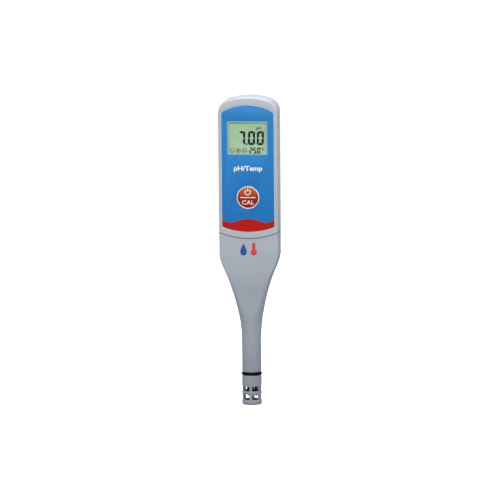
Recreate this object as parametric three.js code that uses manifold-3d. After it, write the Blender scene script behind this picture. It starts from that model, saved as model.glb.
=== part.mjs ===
// Pen-type digital pH meter. Millimetres, +Z up along the pen, front face towards -Y.
// The origin is the centre of the tip, at the bottom of the electrode guard.
import * as THREE from 'three';
import { mergeVertices } from 'three/addons/utils/BufferGeometryUtils.js';
import Module from 'manifold-3d';

const wasm = await Module();
wasm.setup();

// ---- driving dimensions ----
const TOP_Z = 199.5;        // overall length
const HALF_W = 18.95;       // half width of the upper housing
const HALF_T = 12.0;        // half thickness of the upper housing
const SHIFT_Y = 0.3;        // the housing sits this far behind the barrel axis
const WALL = 1.8;           // housing wall
const FRONT_WALL = 1.6;     // wall behind the face label
const TOP_R = 42;           // arc of the top edge, seen from the front
const CORNER_R = 8.5;       // corner of the top edge
const EDGE_R = 1.2;         // front edge fillet
const BACK_R = 8;           // rear edge rounding at the sides
const BACK_TOP_R = 6;       // rear edge rounding at the top
const SEAM_R = 46;          // arc of the seam between upper and lower housing
const SEAM_Z = 109.1;       // lowest point of the seam
const SEAM_GAP = 0.6;
const SPLIT_Y = 2.0;        // parting plane between front and rear shell
const BARREL_R = 6.15;      // probe barrel
const BORE_R = 4.1;
const NOSE_R = 4.7;         // nose tube that carries the O-ring and the guard
const SHOULDER_Z = 21.2;
const NOSE_Z = 13.5;
const GUARD_R = 6.3;
const RECESS = 0.4;         // label recess
const WIN = { x0: -13.05, x1: 12.65, z0: 162.7, z1: 184.1 };  // display window in the label
const BUTTON_Z = 135.2;
const BUTTON_R = 6.5;
const BUTTON_RING_R = 7.4;
const BUTTON_TRAVEL = 0.5;
const DOOR = { x: 12.4, z0: 125.0, z1: 187.0, gap: 0.3 };
const CELL_R = 5.25;
const CELL_X = 5.45;
const CELL_Y = 4.1;
const SCREW_XZ = [[-9, 190.3], [9, 190.3], [-6.5, 120.2], [6.5, 120.2]];
const LOCK_Z = 183.4;
const STEM_X = -1.1;
const STEM_R = 2.2;
const SENSOR_X = 2.75;
const SENSOR_R = 0.8;

// ---- helpers ----
const rad = (d) => d * Math.PI / 180;

function solid(geometry) {
  let g = geometry.clone();
  g.deleteAttribute('normal');
  g.deleteAttribute('uv');
  g = mergeVertices(g, 1e-4);
  const p = g.attributes.position.array;
  let t = Array.from(g.index.array);
  let v = 0;
  for (let i = 0; i < t.length; i += 3) {
    const [a, b, c] = [t[i] * 3, t[i + 1] * 3, t[i + 2] * 3];
    v += p[a] * (p[b + 1] * p[c + 2] - p[b + 2] * p[c + 1])
       - p[a + 1] * (p[b] * p[c + 2] - p[b + 2] * p[c])
       + p[a + 2] * (p[b] * p[c + 1] - p[b + 1] * p[c]);
  }
  if (v < 0) {
    const u = [];
    for (let i = 0; i < t.length; i += 3) u.push(t[i], t[i + 2], t[i + 1]);
    t = u;
  }
  return new wasm.Manifold(new wasm.Mesh({
    numProp: 3, vertProperties: new Float32Array(p), triVerts: new Uint32Array(t),
  }));
}

function geometryOf(m) {
  const mesh = m.getMesh();
  const g = new THREE.BufferGeometry();
  g.setAttribute('position', new THREE.BufferAttribute(new Float32Array(mesh.vertProperties), 3));
  g.setIndex(new THREE.BufferAttribute(new Uint32Array(mesh.triVerts), 1));
  g.computeVertexNormals();
  return g;
}

function box(x0, x1, y0, y1, z0, z1) {
  return solid(new THREE.BoxGeometry(x1 - x0, y1 - y0, z1 - z0)
    .translate((x0 + x1) / 2, (y0 + y1) / 2, (z0 + z1) / 2));
}

// cylinder along Y between y0 and y1
function cylY(x, z, r, y0, y1, n = 24) {
  return solid(new THREE.CylinderGeometry(r, r, y1 - y0, n).translate(x, (y0 + y1) / 2, z));
}

// cylinder along Z
function cylZ(x, y, r, z0, z1, n = 24) {
  return solid(new THREE.CylinderGeometry(r, r, z1 - z0, n).rotateX(Math.PI / 2)
    .translate(x, y, (z0 + z1) / 2));
}

// a turned piece about a line along Z: points are [radius, z]
function turnZ(points, n = 24, x = 0, y = 0) {
  const g = new THREE.LatheGeometry(points.map((q) => new THREE.Vector2(q[0], q[1])), n);
  return solid(g.rotateX(Math.PI / 2).translate(x, y, 0));
}

// a turned piece about a line along Y: points are [radius, y]
function turnY(points, n = 24, x = 0, z = 0) {
  const g = new THREE.LatheGeometry(points.map((q) => new THREE.Vector2(q[0], q[1])), n);
  return solid(g.translate(x, 0, z));
}

// a flat plate: outline and holes in (x, z), between y0 and y1
function plate(outline, holes, y0, y1) {
  const s = new THREE.Shape(outline.map((q) => new THREE.Vector2(q[0], q[1])));
  for (const h of holes) s.holes.push(new THREE.Path(h.map((q) => new THREE.Vector2(q[0], q[1]))));
  const g = new THREE.ExtrudeGeometry(s, { depth: y1 - y0, bevelEnabled: false });
  return solid(g.rotateX(Math.PI / 2).translate(0, y1, 0));
}
// extruding runs down -Y after the turn, so a plate from y0 to y1 starts at y1; shape y becomes +Z

function rect(x0, x1, z0, z1) {
  return [[x0, z0], [x1, z0], [x1, z1], [x0, z1]];
}

function circle(x, z, r, n = 24) {
  return Array.from({ length: n }, (_, i) => [x + r * Math.cos(rad(i * 360 / n)), z + r * Math.sin(rad(i * 360 / n))]);
}

// closed skin through rings of equal length, with flat end caps
function loft(rings) {
  const n = rings[0].length;
  const pos = rings.flat(2);
  const idx = [];
  for (let k = 0; k + 1 < rings.length; k++) {
    for (let i = 0; i < n; i++) {
      const j = (i + 1) % n;
      const a = k * n + i, b = k * n + j, c = (k + 1) * n + j, d = (k + 1) * n + i;
      idx.push(a, b, c, a, c, d);
    }
  }
  for (let i = 1; i + 1 < n; i++) {
    idx.push(0, i + 1, i);
    const o = (rings.length - 1) * n;
    idx.push(o, o + i, o + i + 1);
  }
  const g = new THREE.BufferGeometry();
  g.setAttribute('position', new THREE.BufferAttribute(new Float32Array(pos), 3));
  g.setIndex(idx);
  return solid(g);
}

// ---- upper housing body: the front outline, lofted from the front face to the back ----
const CORNER_X = HALF_W - CORNER_R;
const TOP_C = TOP_Z - TOP_R;
const CORNER_Z = TOP_C + Math.sqrt((TOP_R - CORNER_R) ** 2 - CORNER_X ** 2);
const TANGENT = Math.atan2(CORNER_Z - TOP_C, CORNER_X);

function frontOutline(ds, dt, y, zb = 100) {
  const half = [[HALF_W, zb, 1, 0]];
  for (let i = 0; i <= 5; i++) {
    const t = TANGENT * i / 5;
    half.push([CORNER_X + CORNER_R * Math.cos(t), CORNER_Z + CORNER_R * Math.sin(t), Math.cos(t), Math.sin(t)]);
  }
  for (let i = 1; i <= 3; i++) {
    const t = TANGENT + (Math.PI / 2 - TANGENT) * i / 3;
    half.push([TOP_R * Math.cos(t), TOP_C + TOP_R * Math.sin(t), Math.cos(t), Math.sin(t)]);
  }
  const left = half.slice(0, -1).reverse().map((p) => [-p[0], p[1], -p[2], p[3]]);
  return half.concat(left).map(([x, z, nx, nz]) => [x - nx * ds, y, z - nz * dt]);
}

function upperBody(w, wf) {
  const rings = [];
  if (wf === 0) {
    for (let i = 0; i <= 3; i++) {
      const t = rad(30 * i);
      rings.push(frontOutline(EDGE_R * (1 - Math.sin(t)), EDGE_R * (1 - Math.sin(t)), -HALF_T + EDGE_R * (1 - Math.cos(t))));
    }
  } else {
    rings.push(frontOutline(w, w, -HALF_T + wf));
  }
  for (let i = 0; i <= 5; i++) {
    const t = rad(18 * i);
    const c = 1 - Math.cos(t);
    rings.push(frontOutline(w + (BACK_R - w) * c, w + (BACK_TOP_R - w) * c,
      HALF_T - BACK_R + (BACK_R - w) * Math.sin(t)));
  }
  return loft(rings);
}

const seamDisc = (r) => cylY(0, SEAM_Z + SEAM_R, r, -30, 30, 96);
const outer = upperBody(0, 0);
const inner = upperBody(WALL, FRONT_WALL);
const upperBlock = outer.intersect(seamDisc(SEAM_R));
const shell = upperBlock.subtract(inner);

// ---- label outline ----
function labelOutline(g) {
  const hw = 17.1 + g, rt = 32, rb = 46, zt = 194.8 + g, zb = 112.8 - g;
  const pts = [];
  for (let i = 0; i <= 8; i++) {
    const x = hw - 1.2 - (2 * (hw - 1.2)) * i / 8;
    pts.push([x, zt - (rt - Math.sqrt(rt * rt - x * x))]);
  }
  pts.push([-hw, zt - 5.4]);
  pts.push([-hw, zb + 4.0]);
  for (let i = 0; i <= 8; i++) {
    const x = -(hw - 1.2) + (2 * (hw - 1.2)) * i / 8;
    pts.push([x, zb + (rb - Math.sqrt(rb * rb - x * x))]);
  }
  pts.push([hw, zb + 4.0]);
  pts.push([hw, zt - 5.4]);
  return pts;
}

// ---- materials ----
const mat = (color, roughness, metalness = 0) => new THREE.MeshStandardMaterial({ color, roughness, metalness });
const M = {
  shell: mat(0xb4bac2, 0.42), lower: mat(0x9fa8b1, 0.42), label: mat(0x2f7dc2, 0.3), clear: mat(0xd8e4e0, 0.08),
  lcd: mat(0xa3bda2, 0.2), black: mat(0x101216, 0.7), white: mat(0xf0f0f2, 0.35), red: mat(0xb02a20, 0.35),
  board: mat(0x1f6b3a, 0.5), chip: mat(0x17181a, 0.6), steel: mat(0xb9bcc0, 0.3, 1), glass: mat(0xdfe8ea, 0.05),
  brassy: mat(0xc9a75a, 0.35, 1), cell: mat(0x2b2f36, 0.35), silver: mat(0xd0d2d4, 0.3, 1), ceramic: mat(0xeeeae0, 0.8),
  potting: mat(0x24272c, 0.5), tray: mat(0x3a3d42, 0.6), wire: mat(0x202226, 0.6),
};

const upper = new THREE.Group();
upper.position.y = SHIFT_Y;
const lower = new THREE.Group();
function add(group, name, m, material) {
  const mesh = new THREE.Mesh(geometryOf(m), material);
  mesh.name = name;
  group.add(mesh);
}

// ---- front shell ----
let front = shell.intersect(box(-30, 30, -30, SPLIT_Y, 90, 210));
front = front.subtract(plate(labelOutline(0.12), [], -HALF_T - 1, -HALF_T + RECESS));
front = front.subtract(box(WIN.x0 - 1.05, WIN.x1 + 1.05, -14, -9, WIN.z0 - 1.2, WIN.z1 + 1.1));
front = front.subtract(cylY(0, BUTTON_Z, BUTTON_R + 0.25, -14, -9, 32));
for (const [x, z] of SCREW_XZ) {
  const end = z < 150 ? -2.3 : SPLIT_Y - 0.1;
  front = front.add(cylY(x, z, 2.4, -HALF_T + FRONT_WALL - 0.3, end, 12));
  front = front.subtract(cylY(x, z, 1.15, -6.5, 5, 10));
}
add(upper, 'front_housing', front, M.shell);

// ---- rear shell ----
let rear = shell.intersect(box(-30, 30, SPLIT_Y + 0.1, 30, 90, 210));
rear = rear.subtract(box(-DOOR.x, DOOR.x, 8, 14, DOOR.z0, DOOR.z1));
for (const [x, z] of SCREW_XZ) {
  rear = rear.add(cylY(x, z, z < 150 ? 2.4 : 3.0, SPLIT_Y + 0.3, HALF_T - 0.9, 12));
  rear = rear.subtract(cylY(x, z, 1.2, 0, 14, 10)).subtract(cylY(x, z, 2.15, 9.7, 14, 16));
}
add(upper, 'rear_housing', rear, M.shell);

// ---- face label, window, display ----
add(upper, 'face_label', plate(labelOutline(0), [rect(WIN.x0, WIN.x1, WIN.z0, WIN.z1), circle(0, BUTTON_Z, BUTTON_RING_R + 0.1, 32)],
  -HALF_T, -HALF_T + RECESS - 0.06), M.label);
add(upper, 'display_window', box(WIN.x0 - 0.8, WIN.x1 + 0.8, -11.52, -10.3, WIN.z0 - 0.95, WIN.z1 + 0.85), M.clear);
add(upper, 'lcd_panel', box(-15.2, 14.8, -9.8, -7.8, 161.6, 186.8), M.lcd);
add(upper, 'lcd_frame', plate(rect(-16.3, 16.1, 160.4, 187.7), [rect(-15.4, 15.0, 161.4, 187.0)], -10.0, -6.6), M.tray);
add(upper, 'zebra_strip_lower', box(-13, 13, -7.7, -6.5, 162.0, 163.8), M.black);
add(upper, 'zebra_strip_upper', box(-13, 13, -7.7, -6.5, 184.6, 186.4), M.black);

// ---- circuit board ----
add(upper, 'main_board', box(-14.6, 14.6, -6.4, -4.8, 123.2, 187.6), M.board);
add(upper, 'controller_chip', box(-4, 4, -8.0, -6.46, 146, 154), M.chip);
add(upper, 'amplifier_chip', box(-9.5, -5.5, -4.74, -3.5, 130, 135), M.chip);
add(upper, 'electrode_connector', box(-7.5, 3.5, -4.74, -2.9, 123.6, 128.4), M.white);
add(upper, 'switch_body', box(-3, 3, -8.9, -6.46, BUTTON_Z - 3, BUTTON_Z + 3)
  .subtract(cylY(0, BUTTON_Z, 1.75, -10, -7.2, 16)), M.chip);
add(upper, 'switch_plunger', cylY(0, BUTTON_Z, 1.6, -9.5, -8.0, 16), M.white);

// ---- button ----
add(upper, 'button_ring', turnY([[6.62, -12.25], [6.85, -12.38], [7.2, -12.38], [7.4, -12.2], [7.4, -11.65], [6.62, -11.65], [6.62, -12.25]], 32, 0, BUTTON_Z), M.white);
add(upper, 'button_cap', turnY([[0, -12.6], [3.2, -12.56], [5.4, -12.42], [6.3, -12.2], [6.5, -11.9], [6.5, -10.25], [7.5, -10.25], [7.5, -9.65], [0, -9.65]], 32, 0, BUTTON_Z), M.red);

// ---- battery bay ----
let tray = box(-12.6, 12.6, -2.6, 9.4, 128.9, 180.2).subtract(box(-11.4, 11.4, -1.4, 12, 130.0, 179.1));
tray = tray.add(box(-3.3, 3.3, 1.0, 8.0, 180.0, 186.6)).subtract(cylY(0, LOCK_Z, 1.5, 2.5, 12, 16));
add(upper, 'battery_tray', tray, M.tray);
const cell = (zb, up) => {
  const p = [[0, 0], [4.6, 0], [CELL_R, 0.5], [CELL_R, 43.0], [4.7, 43.5], [1.9, 43.5], [1.9, 44.5], [0, 44.5]];
  const q = up ? p.map(([r, z]) => [r, zb + z]) : p.map(([r, z]) => [r, zb + 44.5 - z]);
  return q;
};
add(upper, 'battery_left', turnZ(cell(134.05, true), 20, -CELL_X, CELL_Y), M.cell);
add(upper, 'battery_right', turnZ(cell(130.58, false), 20, CELL_X, CELL_Y), M.cell);
class Coil extends THREE.Curve {
  constructor(x, y, z0, z1, r0, r1, turns) { super(); Object.assign(this, { x, y, z0, z1, r0, r1, turns }); }
  getPoint(t, target = new THREE.Vector3()) {
    const a = t * this.turns * 2 * Math.PI;
    const r = this.r0 + (this.r1 - this.r0) * t;
    return target.set(this.x + r * Math.cos(a), this.y + r * Math.sin(a), this.z0 + (this.z1 - this.z0) * t);
  }
}
const wireSection = new THREE.Shape(circle(0, 0, 0.28, 6).map((q) => new THREE.Vector2(q[0], q[1])));
const coil = (x, z0, z1, r0, r1) => solid(new THREE.ExtrudeGeometry(wireSection,
  { steps: 36, bevelEnabled: false, extrudePath: new Coil(x, CELL_Y, z0, z1, r0, r1, 3) }));
add(upper, 'battery_spring_left', coil(-CELL_X, 130.95, 133.62, 3.5, 2.2), M.steel);
add(upper, 'battery_spring_right', coil(CELL_X, 178.15, 175.48, 3.5, 2.2), M.steel);
add(upper, 'contact_bridge', box(-10.4, 10.4, -1.3, 7.0, 130.06, 130.46), M.steel);
add(upper, 'contact_positive', box(-9.6, -1.4, -1.3, 8.6, 178.64, 179.04), M.steel);
add(upper, 'contact_negative', box(1.4, 9.6, -1.3, 8.6, 178.64, 179.04), M.steel);

// ---- battery door ----
const dx = DOOR.x - DOOR.gap;
let door = outer.intersect(box(-dx, dx, HALF_T - WALL, 14, DOOR.z0 + DOOR.gap, DOOR.z1 - 0.1 - DOOR.gap / 2));
door = door.add(box(-11.4, -9.4, 8.3, HALF_T - WALL + 0.2, 125.3, 127.0)).add(box(9.4, 11.4, 8.3, HALF_T - WALL + 0.2, 125.3, 127.0));
door = door.add(box(-11.4, -9.4, 8.3, 9.8, 122.9, 127.0)).add(box(9.4, 11.4, 8.3, 9.8, 122.9, 127.0));
door = door.subtract(cylY(0, LOCK_Z, 1.25, 5, 15, 16)).subtract(cylY(0, LOCK_Z, 2.9, 11.0, 15, 24));
add(upper, 'battery_door', door, M.shell);
add(upper, 'door_seal', plate(rect(-12.0, 12.0, 129.0, 180.1), [rect(-11.2, 11.2, 129.9, 179.2)], 9.55, 10.1), M.black);
let lock = turnY([[0, 12.0], [2.5, 12.0], [2.7, 11.8], [2.7, 11.08], [1.0, 11.08], [1.0, 4.4], [0.5, 4.0], [0, 4.0]], 24, 0, LOCK_Z);
lock = lock.subtract(box(-3, 3, 11.45, 13, LOCK_Z - 0.45, LOCK_Z + 0.45));
add(upper, 'door_screw', lock, M.steel);

// ---- housing screws ----
SCREW_XZ.forEach(([x, z], i) => {
  add(upper, `housing_screw_${i + 1}`, turnY([[0, 11.2], [1.6, 11.1], [1.95, 10.7], [1.95, 9.8], [0.95, 9.8], [0.95, -4.6], [0.4, -5.2], [0, -5.2]], 12, x, z)
    .subtract(box(x - 1.2, x + 1.2, 10.6, 12, z - 0.25, z + 0.25))
    .subtract(box(x - 0.25, x + 0.25, 10.6, 12, z - 1.2, z + 1.2)), M.steel);
});

// ---- electrode housing: rounded-rectangle sections down to the round barrel ----
// z, half width, half depth, front corner radius, rear corner radius
const TAPER = [
  [118, 18.95, 12.0, 1.2, 8.0], [98.5, 18.95, 12.0, 1.2, 8.0], [95.8, 18.6, 11.95, 1.2, 8.0], [93, 17.8, 11.85, 1.25, 8.0],
  [90, 16.7, 11.7, 1.35, 8.0], [87, 15.45, 11.45, 1.5, 8.0], [84, 14.2, 11.1, 1.65, 8.0], [80.5, 12.98, 10.6, 1.9, 7.9],
  [77, 11.9, 10.0, 2.2, 7.8], [73.5, 10.9, 9.35, 2.6, 7.6], [70, 9.98, 8.75, 3.0, 7.3], [66, 9.08, 8.15, 3.6, 7.0],
  [62, 8.27, 7.6, 4.3, 6.7], [58, 7.57, 7.15, 5.15, 6.55], [54, 7.03, 6.75, 5.9, 6.45], [50, 6.62, 6.48, 6.27, 6.33],
  [46, 6.31, 6.26, 6.2, 6.22], [42, 6.15, 6.15, 6.11, 6.11],
];

function section(z, a, f, b, rf, rb) {
  const pts = [];
  const corners = [[a - rf, -f + rf, rf, -90], [a - rb, b - rb, rb, 0], [-a + rb, b - rb, rb, 90], [-a + rf, -f + rf, rf, 180]];
  for (const [cx, cy, r, s] of corners) {
    for (let i = 0; i <= 5; i++) pts.push([cx + r * Math.cos(rad(s + 18 * i)), cy + r * Math.sin(rad(s + 18 * i)), z]);
  }
  return pts;
}

function taperRing([z, a, t, rf, rb], w) {
  const k = SHIFT_Y * Math.min(1, Math.max(0, (z - 42) / 50));
  const ai = Math.max(a - w, BORE_R), ti = Math.max(t - w, BORE_R);
  const lim = Math.min(ai, ti) - 0.04;
  const wr = w === 0 ? 0 : w;
  return section(z, ai, ti - k, ti + k, Math.min(lim, Math.max(rf - wr, 0.5)), Math.min(lim, Math.max(rb - wr, 0.5)));
}

const round = (z, r) => section(z, r, r, r, r - 0.04, r - 0.04);
const lowerOuter = loft([round(NOSE_Z, NOSE_R), round(SHOULDER_Z, NOSE_R), round(SHOULDER_Z + 0.001, 5.75), round(SHOULDER_Z + 0.5, BARREL_R)]
  .concat([...TAPER].reverse().map((s) => taperRing(s, 0))));
const innerRings = [round(NOSE_Z - 1, BORE_R)].concat([...TAPER].reverse().map((s) => taperRing(s, WALL)));
const lowerInner = loft(innerRings);
const seamLower = seamDisc(SEAM_R + SEAM_GAP).translate([0, SHIFT_Y, 0]);
const top = TAPER[0];
const ringAt = (z, w) => taperRing([z, top[1], top[2], top[3], top[4]], w);
const spigotOut = loft([ringAt(99.5, WALL - 0.3), ringAt(106.6, WALL - 0.3), ringAt(107.6, WALL + 0.35), ringAt(117.3, WALL + 0.35)]);
const spigotIn = loft([ringAt(99, WALL + 1.6), ringAt(118, WALL + 1.6)]);
let housing = lowerOuter.subtract(lowerInner).subtract(seamLower).add(spigotOut.subtract(spigotIn));
for (const s of [-1, 1]) {
  const lug = (x0, x1, y0, y1, z0, z1) => box(Math.min(s * x0, s * x1), Math.max(s * x0, s * x1), y0 + SHIFT_Y, y1 + SHIFT_Y, z0, z1);
  housing = housing.add(lug(4.3, 8.9, -2.0, 2.0, 106, 122.6)).add(lug(8.0, 15.6, -2.0, 2.0, 106, 116));
  housing = housing.subtract(cylY(s * 6.5, 120.2, 1.3, -5, 5, 12));
}
add(lower, 'electrode_housing', housing, M.lower);

// gasket in the seam, just inside the outer surface
const gasketBand = loft([ringAt(104, 0.4), ringAt(117, 0.4)]).subtract(loft([ringAt(103, 1.75), ringAt(118, 1.75)]))
  .intersect(seamDisc(SEAM_R + SEAM_GAP - 0.1).translate([0, SHIFT_Y, 0])).subtract(seamDisc(SEAM_R + 0.1).translate([0, SHIFT_Y, 0]));
add(lower, 'body_seal', gasketBand, M.black);

// ---- O-ring and guard ----
const oring = [];
for (let i = 0; i <= 10; i++) oring.push([5.85 + 0.95 * Math.cos(rad(-36 * i)), 20.1 + 0.95 * Math.sin(rad(-36 * i))]);
oring[10] = [...oring[0]];
add(lower, 'probe_o_ring', turnZ(oring, 28), M.black);
let guard = turnZ([[5.0, 0.5], [5.2, 0], [5.8, 0], [6.18, 0.35], [6.36, 1.2], [6.34, 2.9], [6.24, 3.1], [6.24, 12.7], [GUARD_R, 13.2], [GUARD_R, 18.5], [5.85, 19.0], [5.0, 19.0], [5.0, 0.5]], 24);
for (const a of [30, 90, 150]) {
  for (const [z0, z1] of [[3.1, 6.8], [8.7, 11.9]]) {
    guard = guard.subtract(solid(new THREE.BoxGeometry(4.5, 16, z1 - z0).translate(0, 0, (z0 + z1) / 2).rotateZ(rad(a))));
  }
}
add(lower, 'electrode_guard', guard, M.lower);

// ---- electrode ----
const arc = (r, z, a0, a1, n) => Array.from({ length: n + 1 }, (_, i) => {
  const t = rad(a0 + (a1 - a0) * i / n);
  return [Math.max(r * Math.cos(t), 0), z + r * Math.sin(t)];
});
const bulbOut = arc(2.7, 7.7, -90, 35.4, 6), bulbIn = arc(2.35, 7.7, 41.9, -90, 6);
bulbOut[0][0] = 0;
bulbIn[6][0] = 0;
add(lower, 'glass_bulb', turnZ([...bulbOut, [2.2, 10.75], [1.75, 10.75], ...bulbIn], 20, STEM_X, 0), M.glass);
add(lower, 'glass_stem', turnZ([[1.7, 10.9], [STEM_R, 10.9], [STEM_R, 78], [1.7, 78], [1.7, 10.9]], 20, STEM_X, 0), M.glass);
add(lower, 'silver_electrode', cylZ(STEM_X, 0, 0.3, 8.5, 77.5, 8), M.silver);
add(lower, 'temperature_sensor', turnZ([[0, 5.1], [0.7, 5.2], [1.1, 5.8], [1.1, 12.6], [SENSOR_R, 13.0], [SENSOR_R, 52], [0, 52]], 12, SENSOR_X, 0), M.steel);
add(lower, 'reference_junction', cylZ(0.9, 2.9, 0.5, 13.4, 17.3, 8), M.ceramic);
const plug = (z0, z1, junction) => {
  let p = cylZ(0, 0, BORE_R - 0.2, z0, z1, 20)
    .subtract(cylZ(STEM_X, 0, STEM_R + 0.12, z0 - 1, z1 + 1, 20)).subtract(cylZ(SENSOR_X, 0, SENSOR_R + 0.12, z0 - 1, z1 + 1, 12));
  if (junction) p = p.subtract(cylZ(0.9, 2.9, 0.6, z0 - 1, z1 + 1, 8));
  return p;
};
add(lower, 'lower_potting_plug', plug(13.7, 17.0, true), M.potting);
add(lower, 'upper_potting_plug', plug(36.0, 39.0, false), M.potting);

// ---- leads to the board ----
const lead = (points, r) => solid(new THREE.ExtrudeGeometry(
  new THREE.Shape(circle(0, 0, r, 8).map((q) => new THREE.Vector2(q[0], q[1]))),
  { steps: 16, bevelEnabled: false, extrudePath: new THREE.CatmullRomCurve3(points.map((q) => new THREE.Vector3(...q))) }));
add(lower, 'electrode_lead', lead([[STEM_X, 0, 78.4], [STEM_X, 0, 86], [-1.5, -0.8, 98], [-2.0, -2.4, 111], [-2.2, -3.5, 123.2]], 1.1), M.wire);
add(lower, 'sensor_lead', lead([[SENSOR_X, 0, 52.4], [SENSOR_X, 0, 66], [2.4, -0.2, 88], [1.9, -1.8, 108], [1.8, -3.5, 123.2]], 0.6), M.wire);

const group = new THREE.Group();
group.add(upper, lower);
export default group;
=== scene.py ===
import math

import bmesh
import bpy
from mathutils import Matrix, Vector


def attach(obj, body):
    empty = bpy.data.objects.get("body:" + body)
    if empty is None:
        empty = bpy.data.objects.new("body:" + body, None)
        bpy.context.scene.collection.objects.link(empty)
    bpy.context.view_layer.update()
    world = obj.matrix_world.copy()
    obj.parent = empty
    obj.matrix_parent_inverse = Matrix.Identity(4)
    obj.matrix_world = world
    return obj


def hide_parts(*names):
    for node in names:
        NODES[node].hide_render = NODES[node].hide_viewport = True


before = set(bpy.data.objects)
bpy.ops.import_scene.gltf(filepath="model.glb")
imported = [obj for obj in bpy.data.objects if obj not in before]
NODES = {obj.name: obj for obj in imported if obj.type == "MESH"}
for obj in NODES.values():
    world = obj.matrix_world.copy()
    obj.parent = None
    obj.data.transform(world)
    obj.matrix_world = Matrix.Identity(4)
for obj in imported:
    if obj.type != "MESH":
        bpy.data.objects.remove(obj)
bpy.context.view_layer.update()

MM = 0.001

# ------------------------------------------------------------------
# sizes, in millimetres; the housing's own y runs from -12 to 12, and
# it sits 0.3 behind the barrel's axis
# ------------------------------------------------------------------
DY = 0.3
TOP_Z, HALF_W, HALF_T = 199.5, 18.95, 12.0
WALL, FRONT_WALL = 1.8, 1.6
TOP_R, CORNER_R, EDGE_R, BACK_R, BACK_TOP_R = 42.0, 8.5, 1.2, 8.0, 6.0
SEAM_R, SEAM_Z, SEAM_GAP = 46.0, 109.1, 0.6
SPLIT_Y = 2.0
BARREL_R, BORE_R, NOSE_R = 6.15, 4.1, 4.7
SHOULDER_Z, NOSE_Z = 20.95, 13.5
RECESS = 0.4
WIN = (-13.05, 12.65, 162.7, 184.1)
BTN_Z, BTN_R, RING_R = 135.2, 6.5, 7.4
DOOR_X, DOOR_Z0, DOOR_Z1, DOOR_GAP = 12.4, 125.0, 187.0, 0.3
LOCK_Z = 183.4
SCREWS = [(-9, 190.3), (9, 190.3), (-6.5, 120.2), (6.5, 120.2)]
STEM_X, SENSOR_X = -1.1, 2.75

rad = math.radians


# ------------------------------------------------------------------
# mesh helpers
# ------------------------------------------------------------------
def link(ob):
    bpy.context.scene.collection.objects.link(ob)
    return ob


def mesh_object(name, verts, faces, scale=MM):
    me = bpy.data.meshes.new(name)
    me.from_pydata([tuple(c * scale for c in v) for v in verts], [], faces)
    me.validate()
    bm = bmesh.new()
    bm.from_mesh(me)
    bmesh.ops.remove_doubles(bm, verts=bm.verts, dist=1e-7)
    bmesh.ops.recalc_face_normals(bm, faces=bm.faces)
    bm.to_mesh(me)
    bm.free()
    return link(bpy.data.objects.new(name, me))


def bake(ob):
    """Applies every modifier to the mesh."""
    dg = bpy.context.evaluated_depsgraph_get()
    dg.update()
    me = bpy.data.meshes.new_from_object(ob.evaluated_get(dg), depsgraph=dg)
    ob.modifiers.clear()
    old = ob.data
    ob.data = me
    me.name = ob.name
    if old.users == 0:
        bpy.data.meshes.remove(old)
    return ob


def curve_to_mesh(ob, name=None):
    dg = bpy.context.evaluated_depsgraph_get()
    dg.update()
    me = bpy.data.meshes.new_from_object(ob.evaluated_get(dg), depsgraph=dg)
    me.transform(ob.matrix_world)
    new = link(bpy.data.objects.new(name or ob.name + "_m", me))
    new.data.name = new.name
    cu = ob.data
    bpy.data.objects.remove(ob)
    bpy.data.curves.remove(cu)
    bm = bmesh.new()
    bm.from_mesh(new.data)
    bmesh.ops.remove_doubles(bm, verts=bm.verts, dist=2e-7)
    bmesh.ops.recalc_face_normals(bm, faces=bm.faces)
    bm.to_mesh(new.data)
    bm.free()
    return new


def loft(name, rings, closed=False):
    n = len(rings[0])
    verts = [p for r in rings for p in r]
    faces = []
    last = len(rings) if closed else len(rings) - 1
    for k in range(last):
        a0, b0 = k * n, ((k + 1) % len(rings)) * n
        for i in range(n):
            j = (i + 1) % n
            faces.append((a0 + i, a0 + j, b0 + j, b0 + i))
    if not closed:
        faces.append(tuple(range(n))[::-1])
        faces.append(tuple((len(rings) - 1) * n + i for i in range(n)))
    return mesh_object(name, verts, faces)


def lathe(name, profile, n=64, axis="Z", at=(0.0, 0.0, 0.0), closed=False):
    """Turns [radius, height] about a line along Z or Y. The profile starts and ends on the axis, or closes on itself."""
    rings, verts, faces = [], [], []
    for r, h in profile:
        if r < 1e-6:
            rings.append([len(verts)])
            verts.append((0.0, 0.0, h))
        else:
            rings.append(list(range(len(verts), len(verts) + n)))
            for i in range(n):
                t = 2 * math.pi * i / n
                verts.append((r * math.cos(t), r * math.sin(t), h))
    pairs = list(zip(rings, rings[1:]))
    if closed:
        pairs.append((rings[-1], rings[0]))
    for a, b in pairs:
        for i in range(n):
            j = (i + 1) % n
            f = [a[i % len(a)], a[j % len(a)], b[j % len(b)], b[i % len(b)]]
            g = [v for k, v in enumerate(f) if v not in f[:k]]
            if len(g) > 2:
                faces.append(tuple(g))
    if axis == "Y":
        verts = [(x, z, y) for x, y, z in verts]
    verts = [(x + at[0], y + at[1], z + at[2]) for x, y, z in verts]
    return mesh_object(name, verts, faces)


def prism(name, outline, y0, y1):
    """A solid with an outline in (x, z), from y0 to y1, in mm."""
    n = len(outline)
    verts = [(x, y0, z) for x, z in outline] + [(x, y1, z) for x, z in outline]
    faces = [tuple(range(n)), tuple(range(n, 2 * n))[::-1]]
    faces += [(i, i + n, (i + 1) % n + n, (i + 1) % n) for i in range(n)]
    return mesh_object(name, verts, faces)


def boxy(name, x0, x1, y0, y1, z0, z1):
    return prism(name, [(x0, z0), (x1, z0), (x1, z1), (x0, z1)], y0, y1)


def boolean(ob, cutters, op="DIFFERENCE"):
    for c in cutters:
        m = ob.modifiers.new("b", "BOOLEAN")
        m.operation, m.solver, m.object = op, "EXACT", c
        bake(ob)
    for c in cutters:
        me = c.data
        bpy.data.objects.remove(c)
        bpy.data.meshes.remove(me)
    return ob


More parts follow.
